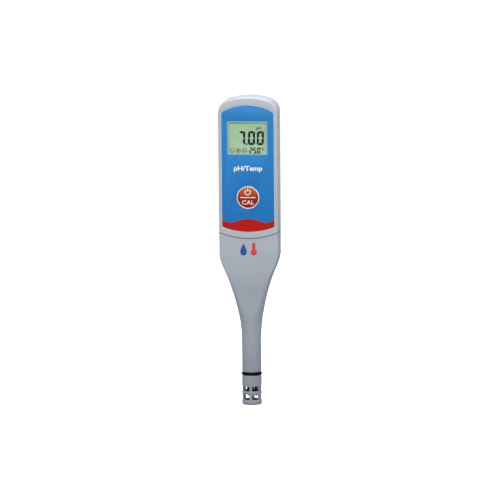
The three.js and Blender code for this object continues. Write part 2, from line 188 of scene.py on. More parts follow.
def rounded_rect(x0, x1, z0, z1, r, n=8):
    out = []
    for cx, cz, s in ((x1 - r, z0 + r, -90), (x1 - r, z1 - r, 0), (x0 + r, z1 - r, 90), (x0 + r, z0 + r, 180)):
        for i in range(n + 1):
            t = rad(s + 90 * i / n)
            out.append((cx + r * math.cos(t), cz + r * math.sin(t)))
    return out


def circle(x, z, r, n=64):
    return [(x + r * math.cos(2 * math.pi * i / n), z + r * math.sin(2 * math.pi * i / n)) for i in range(n)]


def flat(name, loops, y0, y1, bevel=0.0, res=2):
    """A flat plate with holes: loops in (x, z), even-odd filled, from y0 (front) to y1, in mm, with rounded edges."""
    cu = bpy.data.curves.new(name + "_c", "CURVE")
    cu.dimensions, cu.fill_mode = "2D", "BOTH"
    cu.resolution_u = 1
    for loop in loops:
        sp = cu.splines.new("POLY")
        sp.points.add(len(loop) - 1)
        for p, (x, z) in zip(sp.points, loop):
            p.co = (x * MM, z * MM, 0, 1)
        sp.use_cyclic_u = True
    cu.extrude = ((y1 - y0) / 2 - bevel) * MM
    cu.bevel_depth = bevel * MM
    cu.bevel_resolution = res
    cu.offset = -bevel * MM
    ob = link(bpy.data.objects.new(name + "_c", cu))
    ob.matrix_world = Matrix.Translation((0, (y0 + y1) / 2 * MM, 0)) @ Matrix.Rotation(rad(90), 4, "X")
    return curve_to_mesh(ob, name)


def text(name, body, x, z, size, y0, y1, bold=0.0, shear=0.0, width=None, align="CENTER", spacing=1.0):
    """Raised lettering that stands on a face towards -Y. x is the centre and z the baseline; width, if given, is the lettering's full width."""
    cu = bpy.data.curves.new(name + "_t", "FONT")
    cu.body, cu.size, cu.shear = body, size * MM, shear
    cu.align_x = align
    cu.offset = bold * MM
    cu.space_character = spacing
    cu.extrude = (y1 - y0) / 2 * MM
    cu.resolution_u = 6
    ob = link(bpy.data.objects.new(name + "_t", cu))
    bpy.context.view_layer.update()
    k = 1.0 if width is None else width * MM / ob.dimensions.x
    ob.matrix_world = (Matrix.Translation((x * MM, (y0 + y1) / 2 * MM, z * MM)) @ Matrix.Rotation(rad(90), 4, "X")
                       @ Matrix.Diagonal((k, 1, 1, 1)))
    bpy.context.view_layer.update()
    return curve_to_mesh(ob, name)


def join(name, obs):
    bm = bmesh.new()
    for o in obs:
        bm.from_mesh(o.data)
    me = bpy.data.meshes.new(name)
    bm.to_mesh(me)
    bm.free()
    for o in obs:
        m = o.data
        bpy.data.objects.remove(o)
        bpy.data.meshes.remove(m)
    return link(bpy.data.objects.new(name, me))


def bevel(ob, width, segments=2, angle=32):
    m = ob.modifiers.new("edges", "BEVEL")
    m.width, m.segments, m.limit_method, m.angle_limit = width * MM, segments, "ANGLE", rad(angle)
    m.use_clamp_overlap, m.harden_normals = True, False
    m.miter_outer = "MITER_ARC"
    m = ob.modifiers.new("normals", "WEIGHTED_NORMAL")
    m.keep_sharp = True
    return ob


def shade(ob, angle=38):
    for p in ob.data.polygons:
        p.use_smooth = True
    ob.data.set_sharp_from_angle(angle=rad(angle))
    return ob


def place(ob, body, mat, replaces=(), smooth=38):
    if smooth:
        shade(ob, smooth)
    if mat is not None:
        ob.data.materials.clear()
        ob.data.materials.append(mat)
    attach(ob, body)
    if replaces:
        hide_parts(*replaces)
    return ob


# ------------------------------------------------------------------
# materials
# ------------------------------------------------------------------
def srgb(h):
    h = h.lstrip("#")
    out = []
    for i in (0, 2, 4):
        c = int(h[i:i + 2], 16) / 255
        out.append(c / 12.92 if c <= 0.04045 else ((c + 0.055) / 1.055) ** 2.4)
    return (*out, 1.0)


class Nodes:
    def __init__(self, name):
        self.m = bpy.data.materials.new(name)
        self.m.use_nodes = True
        self.t = self.m.node_tree
        self.t.nodes.clear()
        self.out = self.t.nodes.new("ShaderNodeOutputMaterial")
        self.b = self.t.nodes.new("ShaderNodeBsdfPrincipled")
        self.t.links.new(self.b.outputs[0], self.out.inputs[0])
        self.co = self.t.nodes.new("ShaderNodeTexCoord").outputs["Object"]

    def new(self, kind, **kw):
        n = self.t.nodes.new(kind)
        for k, v in kw.items():
            setattr(n, k, v)
        return n

    def link(self, a, b):
        self.t.links.new(a, b)

    def noise(self, scale, detail=3.0, rough=0.5, vec=None, distortion=0.0):
        n = self.new("ShaderNodeTexNoise")
        n.inputs["Scale"].default_value = scale
        n.inputs["Detail"].default_value = detail
        n.inputs["Roughness"].default_value = rough
        n.inputs["Distortion"].default_value = distortion
        self.link(vec or self.co, n.inputs["Vector"])
        return n.outputs["Fac"]

    def ramp(self, fac, stops):
        n = self.new("ShaderNodeValToRGB")
        n.color_ramp.interpolation = "LINEAR"
        while len(n.color_ramp.elements) < len(stops):
            n.color_ramp.elements.new(0.5)
        for e, (p, c) in zip(n.color_ramp.elements, stops):
            e.position, e.color = p, c
        self.link(fac, n.inputs["Fac"])
        return n.outputs["Color"]

    def maprange(self, v, a, b, c, d):
        n = self.new("ShaderNodeMapRange")
        for i, x in zip(("From Min", "From Max", "To Min", "To Max"), (a, b, c, d)):
            n.inputs[i].default_value = x
        self.link(v, n.inputs["Value"])
        return n.outputs["Result"]

    def math(self, op, a, b=None):
        n = self.new("ShaderNodeMath", operation=op)
        for i, x in enumerate((a, b)):
            if x is None:
                continue
            if hasattr(x, "links"):
                self.link(x, n.inputs[i])
            else:
                n.inputs[i].default_value = x
        return n.outputs[0]

    def mix(self, fac, a, b, mode="MIX"):
        n = self.new("ShaderNodeMix", data_type="RGBA", blend_type=mode)
        for sock, x in ((n.inputs["Factor"], fac), (n.inputs[6], a), (n.inputs[7], b)):
            if hasattr(x, "links"):
                self.link(x, sock)
            else:
                sock.default_value = x
        return n.outputs[2]

    def xyz(self):
        n = self.new("ShaderNodeSeparateXYZ")
        self.link(self.co, n.inputs[0])
        return n.outputs

    def bump(self, height, strength, distance):
        n = self.new("ShaderNodeBump")
        n.inputs["Strength"].default_value = strength
        n.inputs["Distance"].default_value = distance
        self.link(height, n.inputs["Height"])
        self.link(n.outputs["Normal"], self.b.inputs["Normal"])
        return n


def plastic(name, colour, rough=0.42, var=0.05, grain=9000.0, grain_depth=1.0e-5, strength=0.25, spec=0.5, coat=0.0, painted_shade_ramp=None):
    """Moulded plastic: slight flow tone, a fine spark-eroded grain, and uneven gloss. An optional ramp up z multiplies
    the colour: painted shade, darker where less light falls.
    """
    k = Nodes(name)
    flow = k.noise(55.0, 4.0, 0.6)
    c0 = tuple(max(0, x * (1 - var)) for x in colour[:3]) + (1,)
    c1 = tuple(min(1, x * (1 + var)) for x in colour[:3]) + (1,)
    col = k.ramp(flow, [(0.3, c0), (0.7, c1)])
    # painted shade: the colour is multiplied by a ramp up the part's height
    if painted_shade_ramp:
        z0, z1, painted_shade_tones = painted_shade_ramp
        f = k.maprange(k.xyz()[2], z0 * MM, z1 * MM, 0.0, 1.0)
        col = k.mix(1.0, col, k.ramp(f, painted_shade_tones), "MULTIPLY")
    k.link(col, k.b.inputs["Base Color"])
    fine = k.noise(grain, 2.0, 0.5)
    r = k.maprange(k.noise(260.0, 3.0, 0.6), 0.3, 0.7, rough - 0.05, rough + 0.06)
    k.link(r, k.b.inputs["Roughness"])
    k.bump(fine, strength, grain_depth)
    k.b.inputs["Specular IOR Level"].default_value = spec
    k.b.inputs["Coat Weight"].default_value = coat
    k.b.inputs["Coat Roughness"].default_value = 0.12
    return k.m


def metal(name, colour, rough=0.28, brushed=None, scale=600.0):
    k = Nodes(name)
    mp = k.new("ShaderNodeMapping")
    mp.inputs["Scale"].default_value = brushed or (1, 1, 1)
    k.link(k.co, mp.inputs["Vector"])
    n = k.noise(scale, 5.0, 0.65, mp.outputs[0])
    c0 = tuple(x * 0.86 for x in colour[:3]) + (1,)
    k.link(k.ramp(n, [(0.3, c0), (0.7, colour)]), k.b.inputs["Base Color"])
    k.link(k.maprange(n, 0.25, 0.75, rough - 0.07, rough + 0.12), k.b.inputs["Roughness"])
    k.b.inputs["Metallic"].default_value = 1.0
    k.bump(n, 0.15, 2.0e-5)
    return k.m


def rubber(name, colour=(0.0006, 0.0007, 0.002, 1), rough=0.5):
    k = Nodes(name)
    n = k.noise(900.0, 4.0, 0.6)
    k.link(k.ramp(n, [(0.3, colour), (0.75, tuple(min(1, c * 1.7 + 0.0008) for c in colour[:3]) + (1,))]), k.b.inputs["Base Color"])
    k.link(k.maprange(n, 0.3, 0.7, rough - 0.08, rough + 0.12), k.b.inputs["Roughness"])
    k.bump(k.noise(5200.0, 3.0, 0.6), 0.3, 1.5e-5)
    k.b.inputs["Specular IOR Level"].default_value = 0.08
    return k.m


def clear(name, tint, ior=1.45, rough=0.03, body=0.0, body_col=(1, 1, 1, 1)):
    """Thin clear film or pane: what is behind shows straight through, under a mirror-like gloss."""
    k = Nodes(name)
    k.t.nodes.remove(k.b)
    tr = k.new("ShaderNodeBsdfTransparent")
    smear = k.noise(130.0, 3.0, 0.6)
    k.link(k.ramp(smear, [(0.3, tuple(c * 0.985 for c in tint[:3]) + (1,)), (0.7, tint)]), tr.inputs["Color"])
    gl = k.new("ShaderNodeBsdfGlossy")
    k.link(k.maprange(smear, 0.3, 0.7, rough, rough + 0.05), gl.inputs["Roughness"])
    gl.inputs["Color"].default_value = (1, 1, 1, 1)
    fr = k.new("ShaderNodeFresnel")
    fr.inputs["IOR"].default_value = ior
    mx = k.new("ShaderNodeMixShader")
    k.link(fr.outputs[0], mx.inputs[0])
    k.link(tr.outputs[0], mx.inputs[1])
    k.link(gl.outputs[0], mx.inputs[2])
    k.link(mx.outputs[0], k.out.inputs[0])
    return k.m


def glass(name, tint=(0.93, 0.97, 0.97, 1), through=1.0):
    """Thin blown glass: clear, with a strong rim gloss and a faint milky film."""
    k = Nodes(name)
    n = k.noise(700.0, 3.0, 0.5)
    k.b.inputs["Transmission Weight"].default_value = through
    k.b.inputs["IOR"].default_value = 1.47
    k.link(k.ramp(n, [(0.3, tuple(c * 0.97 for c in tint[:3]) + (1,)), (0.7, tint)]), k.b.inputs["Base Color"])
    k.link(k.maprange(n, 0.3, 0.7, 0.01, 0.05), k.b.inputs["Roughness"])
    return k.m


GREY = srgb("#a9b2bd")
M_UPPER = plastic("upper_plastic", srgb("#b4bbc4"), 0.38)
# painted shade: the lower housing's colour darkens towards the bottom, where less of the light from above falls
M_LOWER = plastic("lower_plastic", srgb("#adb5bf"), 0.42, painted_shade_ramp=(30, 92, [(0.0, (0.80, 0.805, 0.81, 1)), (0.42, (0.95, 0.955, 0.96, 1)), (0.85, (1.05, 1.05, 1.05, 1)), (1.0, (1, 1, 1, 1))]))
# the rear shell is moulded a darker grey than the front; the darker tone also stands in for painted shade along the
# top's rear edge and the sides
M_REAR = plastic("rear_plastic", srgb("#9ba2ac"), 0.42)
M_GUARD = plastic("guard_plastic", srgb("#9da3ad"), 0.38)
M_WHITE = plastic("white_plastic", srgb("#f1f1f4"), 0.30, 0.02, coat=0.3)
M_INK = plastic("white_ink", srgb("#f4f6f8"), 0.35, 0.015, 12000.0)
M_CREAM = plastic("cream_ink", srgb("#ffe9dc"), 0.35, 0.02, 12000.0)
M_TRAY = plastic("tray_plastic", srgb("#3b3f45"), 0.5)
M_CHIP = plastic("chip_epoxy", srgb("#1b1c1f"), 0.55, 0.2, 4000.0, 2e-5, 0.5)
M_NYLON = plastic("nylon", srgb("#dedbd2"), 0.45, 0.04)
M_POT = plastic("potting_epoxy", srgb("#1c2026"), 0.25, 0.2)
M_LEAD = plastic("lead_jacket", srgb("#26282c"), 0.45, 0.15)
M_CERAMIC = plastic("frit_ceramic", srgb("#e9e4d8"), 0.8, 0.08, 5000.0, 4e-5, 0.6)
M_RUBBER = rubber("seal_rubber")
M_SEAM = rubber("seam_rubber", srgb("#787e8a"), 0.55)
M_STEEL = metal("screw_steel", srgb("#b9bcc2"), 0.26)
M_SPRING = metal("spring_steel", srgb("#c4c6ca"), 0.22)
M_SILVER = metal("silver_wire_metal", srgb("#d8dadc"), 0.22)
M_PROBE = plastic("probe_sleeve", srgb("#23262c"), 0.3, 0.15)
M_CLEAR = clear("window_acrylic", (0.992, 1.0, 0.995, 1), 1.22)
M_GLASS = glass("probe_glass")
# near-black bulb glass that lets little through: partly a dark-filled bulb, partly painted shade for the guard's shaded
# interior
M_BULB = glass("bulb_glass", (0.012, 0.015, 0.026, 1), 0.30)


# ------------------------------------------------------------------
# upper housing: the front outline, lofted from the face to the back
# ------------------------------------------------------------------
CORNER_X = HALF_W - CORNER_R
TOP_C = TOP_Z - TOP_R
CORNER_Z = TOP_C + math.sqrt((TOP_R - CORNER_R) ** 2 - CORNER_X ** 2)
TANGENT = math.atan2(CORNER_Z - TOP_C, CORNER_X)


def front_outline(ds, dt, y, zb=100.0, nc=16, nt=10):
    half = [(HALF_W, zb, 1.0, 0.0), (HALF_W, 130.0, 1.0, 0.0), (HALF_W, 160.0, 1.0, 0.0)]
    for i in range(nc + 1):
        t = TANGENT * i / nc
        half.append((CORNER_X + CORNER_R * math.cos(t), CORNER_Z + CORNER_R * math.sin(t), math.cos(t), math.sin(t)))
    for i in range(1, nt + 1):
        t = TANGENT + (math.pi / 2 - TANGENT) * i / nt
        half.append((TOP_R * math.cos(t), TOP_C + TOP_R * math.sin(t), math.cos(t), math.sin(t)))
    pts = half + [(-x, z, -nx, nz) for x, z, nx, nz in reversed(half[:-1])]
    return [(x - nx * ds, y + DY, z - nz * dt) for x, z, nx, nz in pts]


def upper_body(name, w, wf, y_from=None, y_to=None):
    rings = []
    if wf == 0:
        for i in range(9):
            t = rad(90 * i / 8)
            d = EDGE_R * (1 - math.sin(t))
            rings.append((d, d, -HALF_T + EDGE_R * (1 - math.cos(t))))
    else:
        rings.append((w, w, -HALF_T + wf))
    for i in range(19):
        t = rad(90 * i / 18)
        c = 1 - math.cos(t)
        rings.append((w + (BACK_R - w) * c, w + (BACK_TOP_R - w) * c, HALF_T - BACK_R + (BACK_R - w) * math.sin(t)))
    return loft(name, [front_outline(*r) for r in rings])


def disc_y(name, r, x=0.0, z=SEAM_Z + SEAM_R, y0=-30.0, y1=30.0, n=720):
    return prism(name, circle(x, z, r, n), y0, y1)


def label_loop(g):
    hw, rt, rb, zt, zb = 17.1 + g, 32.0, 46.0, 194.8 + g, 112.8 - g
    rc = 1.5
    pts = []
    n = 28
    xe = hw - 1.15
    for i in range(n + 1):                       # top arc, right to left
        x = xe - 2 * xe * i / n
        pts.append((x, zt - (rt - math.sqrt(rt * rt - x * x))))
    ztop = pts[-1][1]

    def corner(p0, p1, p2, m=6):
        for j in range(1, m):
            t = j / m
            yield tuple((1 - t) ** 2 * a + 2 * t * (1 - t) * b + t * t * c for a, b, c in zip(p0, p1, p2))

    c = [(-xe, ztop), (-hw, ztop - 0.75), (-hw, ztop - 1.9)]
    pts += list(corner(*c)) + [c[2]]
    zlow = zb + (rb - math.sqrt(rb * rb - xe * xe))
    c = [(-hw, zlow + 1.7), (-hw, zlow + 0.55), (-xe, zlow)]
    pts += [c[0]] + list(corner(*c))
    for i in range(n + 1):
        x = -xe + 2 * xe * i / n
        pts.append((x, zb + (rb - math.sqrt(rb * rb - x * x))))
    c = [(xe, zlow), (hw, zlow + 0.55), (hw, zlow + 1.7)]
    pts += list(corner(*c)) + [c[2]]
    c = [(hw, ztop - 1.9), (hw, ztop - 0.75), (xe, ztop)]
    pts += [c[0]] + list(corner(*c))
    return pts


def label_pocket(name):
    """The recess for the label, with a chamfer round its lip."""
    rings = []
    for g, y in ((0.12, -HALF_T + RECESS), (0.12, -HALF_T + 0.30), (0.52, -HALF_T), (0.62, -HALF_T - 0.1), (0.62, -HALF_T - 2)):
        rings.append([(x, y + DY, z) for x, z in label_loop(g)])
    return loft(name, rings)


# front shell
front = upper_body("front_shell", 0, 0)
boolean(front, [disc_y("c", SEAM_R), boxy("c2", -30, 30, -30, SPLIT_Y + DY, 90, 210)], "INTERSECT")
boolean(front, [
    upper_body("c", WALL, FRONT_WALL),
    label_pocket("c2"),
    prism("c3", rounded_rect(WIN[0] - 1.05, WIN[1] + 1.05, WIN[2] - 1.2, WIN[3] + 1.1, 0.8), -14 + DY, -9 + DY),
    prism("c4", circle(0, BTN_Z, BTN_R + 0.25, 96), -14 + DY, -9 + DY),
])
bevel(front, 0.12, 2)
place(front, "meter_body", M_UPPER, ["front_housing"])

# rear shell
rear = upper_body("rear_shell", 0, 0)
boolean(rear, [disc_y("c", SEAM_R), boxy("c2", -30, 30, SPLIT_Y + 0.1 + DY, 30, 90, 210)], "INTERSECT")
boolean(rear, [
    upper_body("c", WALL, FRONT_WALL),
    prism("c2", rounded_rect(-DOOR_X, DOOR_X, DOOR_Z0, DOOR_Z1, 1.6), 6 + DY, 14 + DY),
])
for x, z in SCREWS:
    r = 2.9
    boolean(rear, [lathe("c", [(0, 4.5), (r - 0.15, 4.5), (r, 5.0), (r, HALF_T - 0.6), (0, HALF_T - 0.6)], 48, "Y", (x, DY, z))], "UNION")
for x, z in SCREWS:
    boolean(rear, [lathe("c", [(0, 9.6), (2.15, 9.6), (2.15, 11.9), (2.35, 13.0), (0, 13.0)], 48, "Y", (x, DY, z))])
bevel(rear, 0.12, 2)
place(rear, "meter_body", M_REAR, ["rear_housing"])

# lip inside the wall, bridging the joint between the two shells so that no light passes through it
lip = upper_body("joint_lip", 0.65, 0.65)
boolean(lip, [disc_y("c", SEAM_R - 0.25), boxy("c2", -30, 30, SPLIT_Y - 0.6 + DY, SPLIT_Y + 0.7 + DY, 90, 210)], "INTERSECT")
boolean(lip, [upper_body("c", WALL - 0.2, FRONT_WALL)])
place(lip, "meter_body", M_SEAM)

# battery door: skin of the body between the opening's edges, with hook tabs and grip ribs
dx = DOOR_X - DOOR_GAP
door = upper_body("battery_cover", 0, 0)
boolean(door, [prism("c", rounded_rect(-dx, dx, DOOR_Z0 + DOOR_GAP, DOOR_Z1 - 0.25, 1.35), HALF_T - WALL + DY, 20)], "INTERSECT")
for s in (-1, 1):
    a, b = sorted((s * 9.4, s * 11.4))
    boolean(door, [boxy("c", a, b, 8.3 + DY, HALF_T - WALL + 0.1 + DY, 125.35, 127.0)], "UNION")
    boolean(door, [boxy("c", a, b, 8.3 + DY, 9.8 + DY, 122.9, 126.0)], "UNION")
# shallow thumb recess with four raised bars
boolean(door, [prism("c", rounded_rect(-7.0, 7.0, 168.6, 177.6, 2.2), HALF_T - 0.55 + DY, 20)])
for i in range(4):
    zc = 170.3 + 1.9 * i
    boolean(door, [prism("c", rounded_rect(-5.6, 5.6, zc - 0.42, zc + 0.42, 0.41, 6), HALF_T - 1.2 + DY, HALF_T - 0.1 + DY)], "UNION")
boolean(door, [
    lathe("c", [(0, 11.0), (2.9, 11.0), (2.9, 20), (0, 20)], 64, "Y", (0, DY, LOCK_Z)),
    lathe("c2", [(0, 5), (1.25, 5), (1.25, 15), (0, 15)], 48, "Y", (0, DY, LOCK_Z)),
])
bevel(door, 0.12, 2)
place(door, "door", M_REAR, ["battery_door"])

# ------------------------------------------------------------------
# face label: printed film, blue above a wave and red below it
# ------------------------------------------------------------------
WAVE = [(-17.1, 121.1), (-15.2, 120.1), (-13.4, 119.3), (-11.4, 119.0), (-9.2, 119.4), (-6.4, 120.4), (-3.2, 121.15), (0.0, 121.4),
        (3.2, 121.15), (6.4, 120.4), (9.2, 119.4), (11.4, 119.0), (13.4, 119.3), (15.2, 120.1), (17.1, 121.1)]


def wave(x):
    for (x0, z0), (x1, z1) in zip(WAVE, WAVE[1:]):
        if x0 <= x <= x1:
            i = WAVE.index((x0, z0))
            p0 = WAVE[max(i - 1, 0)]
            p3 = WAVE[min(i + 2, len(WAVE) - 1)]
            t = (x - x0) / (x1 - x0)
            m0 = (z1 - p0[1]) / max(x1 - p0[0], 1e-6) * (x1 - x0)
            m1 = (p3[1] - z0) / max(p3[0] - x0, 1e-6) * (x1 - x0)
            return ((2 * t ** 3 - 3 * t * t + 1) * z0 + (t ** 3 - 2 * t * t + t) * m0
                    + (-2 * t ** 3 + 3 * t * t) * z1 + (t ** 3 - t * t) * m1)
    return 120.95


Y_LABEL = -HALF_T + DY


def film_material(name, stops, z0, z1, rough=0.46):
    """Reverse-printed polyester: a smooth colour ramp up the film that paints in light and shade, screen-print mottling
    and a fine matt texture.
    """
    k = Nodes(name)
    f = k.maprange(k.xyz()[2], z0 * MM, z1 * MM, 0.0, 1.0)
    mott = k.maprange(k.noise(420.0, 3.0, 0.6), 0.3, 0.7, 0.975, 1.03)
    col = k.ramp(f, stops)
    comb = k.new("ShaderNodeCombineColor")
    for i in range(3):
        k.link(mott, comb.inputs[i])
    k.link(k.mix(1.0, col, comb.outputs[0], "MULTIPLY"), k.b.inputs["Base Color"])
    k.link(k.maprange(k.noise(300.0, 3.0, 0.6), 0.3, 0.7, rough - 0.05, rough + 0.07), k.b.inputs["Roughness"])
    k.bump(k.noise(7000.0, 2.0, 0.5), 0.18, 1.0e-5)
    k.b.inputs["Specular IOR Level"].default_value = 0.2
    return k.m


# painted shade: the blue is lighter at the top and darker towards the bottom, as the light from above falls off; the
# red's small ramp does the same
M_BLUE = film_material("label_blue", [(0.0, srgb("#2172b8")), (0.55, srgb("#2b7bc0")), (1.0, srgb("#337db9"))], 119, 196)
M_RED = film_material("label_red", [(0.0, srgb("#b21811")), (1.0, srgb("#b61a13"))], 113, 122)

label = flat("label_film", [label_loop(0.0), rounded_rect(WIN[0], WIN[1], WIN[2], WIN[3], 0.5), circle(0, BTN_Z, RING_R - 0.04, 96)],
             Y_LABEL, Y_LABEL + 0.34, 0.04, 1)
label.data.materials.clear()
label.data.materials.append(M_BLUE)
label.data.materials.append(M_RED)
# split the film's faces along the wave, so that each colour has its own faces
bm = bmesh.new()
bm.from_mesh(label.data)
N = 66
for i in range(N):
    xa, xb = -17.08 + 34.16 * i / N, -17.08 + 34.16 * (i + 1) / N
    za, zb2 = wave(xa), wave(xb)
    d = Vector((xb - xa, 0, zb2 - za)).normalized()
    nrm = Vector((-d.z, 0, d.x))
    sel_f = [f for f in bm.faces if min(v.co.x for v in f.verts) < xb * MM and max(v.co.x for v in f.verts) > xa * MM
             and min(v.co.z for v in f.verts) < 123 * MM]
    geom = set(sel_f)
    for f in sel_f:
        geom.update(f.verts)
        geom.update(f.edges)
    if i:
        bmesh.ops.bisect_plane(bm, geom=list(geom), dist=1e-8, plane_co=(xa * MM, 0, 0), plane_no=(1, 0, 0))
        sel_f = [f for f in bm.faces if min(v.co.x for v in f.verts) < xb * MM - 1e-7 and max(v.co.x for v in f.verts) > xa * MM + 1e-7
                 and min(v.co.z for v in f.verts) < 123 * MM]
        geom = set(sel_f)
        for f in sel_f:
            geom.update(f.verts)
            geom.update(f.edges)
for i in range(N):
    xa, xb = -17.08 + 34.16 * i / N, -17.08 + 34.16 * (i + 1) / N
    za, zb2 = wave(xa), wave(xb)
    d = Vector((xb - xa, 0, zb2 - za)).normalized()
    nrm = Vector((-d.z, 0, d.x))
    fs = [f for f in bm.faces if xa * MM - 1e-6 <= f.calc_center_median().x <= xb * MM + 1e-6 and min(v.co.z for v in f.verts) < 123 * MM]
    geom = set(fs)
    for f in fs:
        geom.update(f.verts)
        geom.update(f.edges)
    if geom:
        bmesh.ops.bisect_plane(bm, geom=list(geom), dist=1e-8, plane_co=(xa * MM, 0, za * MM), plane_no=nrm)
for f in bm.faces:
    c = f.calc_center_median()
    f.material_index = 1 if c.z / MM < wave(max(-17.07, min(17.07, c.x / MM))) - 1e-4 else 0
bm.to_mesh(label.data)
bm.free()
place(label, "meter_body", None, ["face_label"], smooth=30)

# pale line round the label's rim: a painted highlight, standing for the light caught on the recess lip along the lower
# edge
edge = flat("label_edge", [label_loop(0.11), label_loop(-0.30)], Y_LABEL - 0.02, Y_LABEL + 0.36, 0.02, 1)
place(edge, "meter_body", plastic("label_rim_painted_highlight", srgb("#c9d2da"), 0.35, 0.03))

# ------------------------------------------------------------------
# window, its pale border, and the display
# ------------------------------------------------------------------
wb = 0.75
border = flat("window_border", [rounded_rect(WIN[0], WIN[1], WIN[2], WIN[3], 0.5),
                                rounded_rect(WIN[0] + wb, WIN[1] - wb, WIN[2] + wb, WIN[3] - wb, 0.5)], Y_LABEL + 0.05, Y_LABEL + 0.34, 0.05, 1)
place(border, "meter_body", plastic("border_ink", srgb("#8fbcc0"), 0.3, 0.03))

pane = flat("window_pane", [rounded_rect(WIN[0] - 0.8, WIN[1] + 0.8, WIN[2] - 0.95, WIN[3] + 0.85, 0.6)], Y_LABEL + 0.38, Y_LABEL + 0.72, 0.06, 2)
place(pane, "meter_body", M_CLEAR, ["display_window"])

Y_LCD = -11.2 + DY
k = Nodes("lcd_polariser")
# painted shade: the panel is lighter at the bottom and darker, yellower towards the top, where the window's upper edge
# shades it
fz = k.maprange(k.xyz()[2], 161.6 * MM, 186.8 * MM, 0.0, 1.0)
base = k.ramp(fz, [(0.0, srgb("#c6e3b7")), (0.35, srgb("#b8d6b9")), (0.8, srgb("#b4d0ab")), (1.0, srgb("#b8d4a0"))])
spk = k.noise(2400.0, 3.0, 0.7)
comb = k.new("ShaderNodeCombineColor")
v = k.maprange(spk, 0.3, 0.7, 0.95, 1.05)
for i in range(3):
    k.link(v, comb.inputs[i])
k.link(k.mix(1.0, base, comb.outputs[0], "MULTIPLY"), k.b.inputs["Base Color"])
k.link(k.maprange(k.noise(500.0, 3.0), 0.3, 0.7, 0.22, 0.34), k.b.inputs["Roughness"])
k.bump(spk, 0.1, 1e-5)
k.b.inputs["Specular IOR Level"].default_value = 0.25
M_LCD = k.m

k = Nodes("lcd_segment")
n = k.noise(1500.0, 3.0)
k.link(k.ramp(n, [(0.3, (0.0008, 0.004, 0.0015, 1)), (0.7, (0.002, 0.008, 0.003, 1))]), k.b.inputs["Base Color"])
k.link(k.maprange(n, 0.3, 0.7, 0.3, 0.4), k.b.inputs["Roughness"])
k.b.inputs["Specular IOR Level"].default_value = 0.05
M_SEG = k.m
M_DIM = plastic("lcd_dim", srgb("#48603f"), 0.4, 0.06)
M_SMALL = plastic("lcd_small", srgb("#1d2e1a"), 0.4, 0.1)

lcd = NODES["lcd_panel"]
lcd.data.materials.clear()
lcd.data.materials.append(M_LCD)
bevel(lcd, 0.12, 2)
glass_plate = flat("display_glass", [rounded_rect(WIN[0] - 0.85, WIN[1] + 0.85, WIN[2] - 1.0, WIN[3] + 0.9, 0.3)], Y_LCD, -9.82 + DY, 0.08, 2)
place(glass_plate, "meter_body", M_LCD)


def segments(ch, x, z, w, h, t, gap=0.12):
    """Seven-segment digit: lists of loops in (x, z); x is the left edge and z the bottom."""
    on = {"0": "abcdef", "1": "bc", "2": "abged", "5": "afgcd", "7": "abc", "C": "adef", "9": "abcdfg"}[ch]
    r = t * 0.9
    hm = z + h / 2
    out = []
    c = t * 0.62

    def poly(*pts):
        out.append(list(pts))

    if "a" in on:
        poly((x + gap + c * 0.4, z + h), (x + w - gap - c * 0.4, z + h), (x + w - t - gap * 0.6, z + h - t), (x + t + gap * 0.6, z + h - t))
    if "d" in on:
        poly((x + gap + c * 0.4, z), (x + t + gap * 0.6, z + t), (x + w - t - gap * 0.6, z + t), (x + w - gap - c * 0.4, z))
    if "g" in on:
        poly((x + gap + t * 0.5, hm), (x + t + gap * 0.4, hm + t / 2), (x + w - t - gap * 0.4, hm + t / 2), (x + w - gap - t * 0.5, hm),
             (x + w - t - gap * 0.4, hm - t / 2), (x + t + gap * 0.4, hm - t / 2))
    for name, xo, up in (("b", x + w, 1), ("c", x + w, 0), ("f", x, 1), ("e", x, 0)):
        if name not in on:
            continue
        s = -1 if xo > x else 1
        xi = xo + s * t
        if up:
            poly((xo, hm + gap * 0.8), (xo, z + h - gap - c * 0.55), (xo + s * t * 0.28, z + h - gap * 1.6 - c * 0.1), (xi, z + h - t - gap * 0.9), (xi, hm + t * 0.5 + gap * 0.2),
                 (xo + s * t * 0.45, hm + gap * 0.5))
        else:
            poly((xo, hm - gap * 0.8), (xo, z + gap + c * 0.55), (xo + s * t * 0.28, z + gap * 1.6 + c * 0.1), (xi, z + t + gap * 0.9), (xi, hm - t * 0.5 - gap * 0.2),
                 (xo + s * t * 0.45, hm - gap * 0.5))
    return out


def soften(loop, r, n=3):
    """Rounds a polygon's corners."""
    out = []
    m = len(loop)
    for i in range(m):
        p, a, b = Vector(loop[i]), Vector(loop[i - 1]), Vector(loop[(i + 1) % m])
        da, db = (a - p), (b - p)
        ra, rb = min(r, da.length * 0.45), min(r, db.length * 0.45)
        p0, p2 = p + da.normalized() * ra, p + db.normalized() * rb
        for j in range(n + 1):
            t = j / n
            q = (1 - t) ** 2 * p0 + 2 * t * (1 - t) * p + t * t * p2
            out.append((q.x, q.y))
    return out


def digits(name, chars, h, w, t, slant, mat, body="meter_body", y=Y_LCD, soft=0.14):
    """chars is a list of (character, left x, bottom z). Each segment is a thin raised plate on the panel."""
    obs = []
    for ch, x, z in chars:
        for i, loop in enumerate(segments(ch, x, z, w, h, t)):
            loop = [(px + (pz - z) * slant, pz) for px, pz in loop]
            obs.append(flat(f"{name}_{ch}_{i}", [soften(loop, soft)], y - 0.035, y - 0.005))
    ob = join(name, obs)
    return place(ob, body, mat, smooth=0)


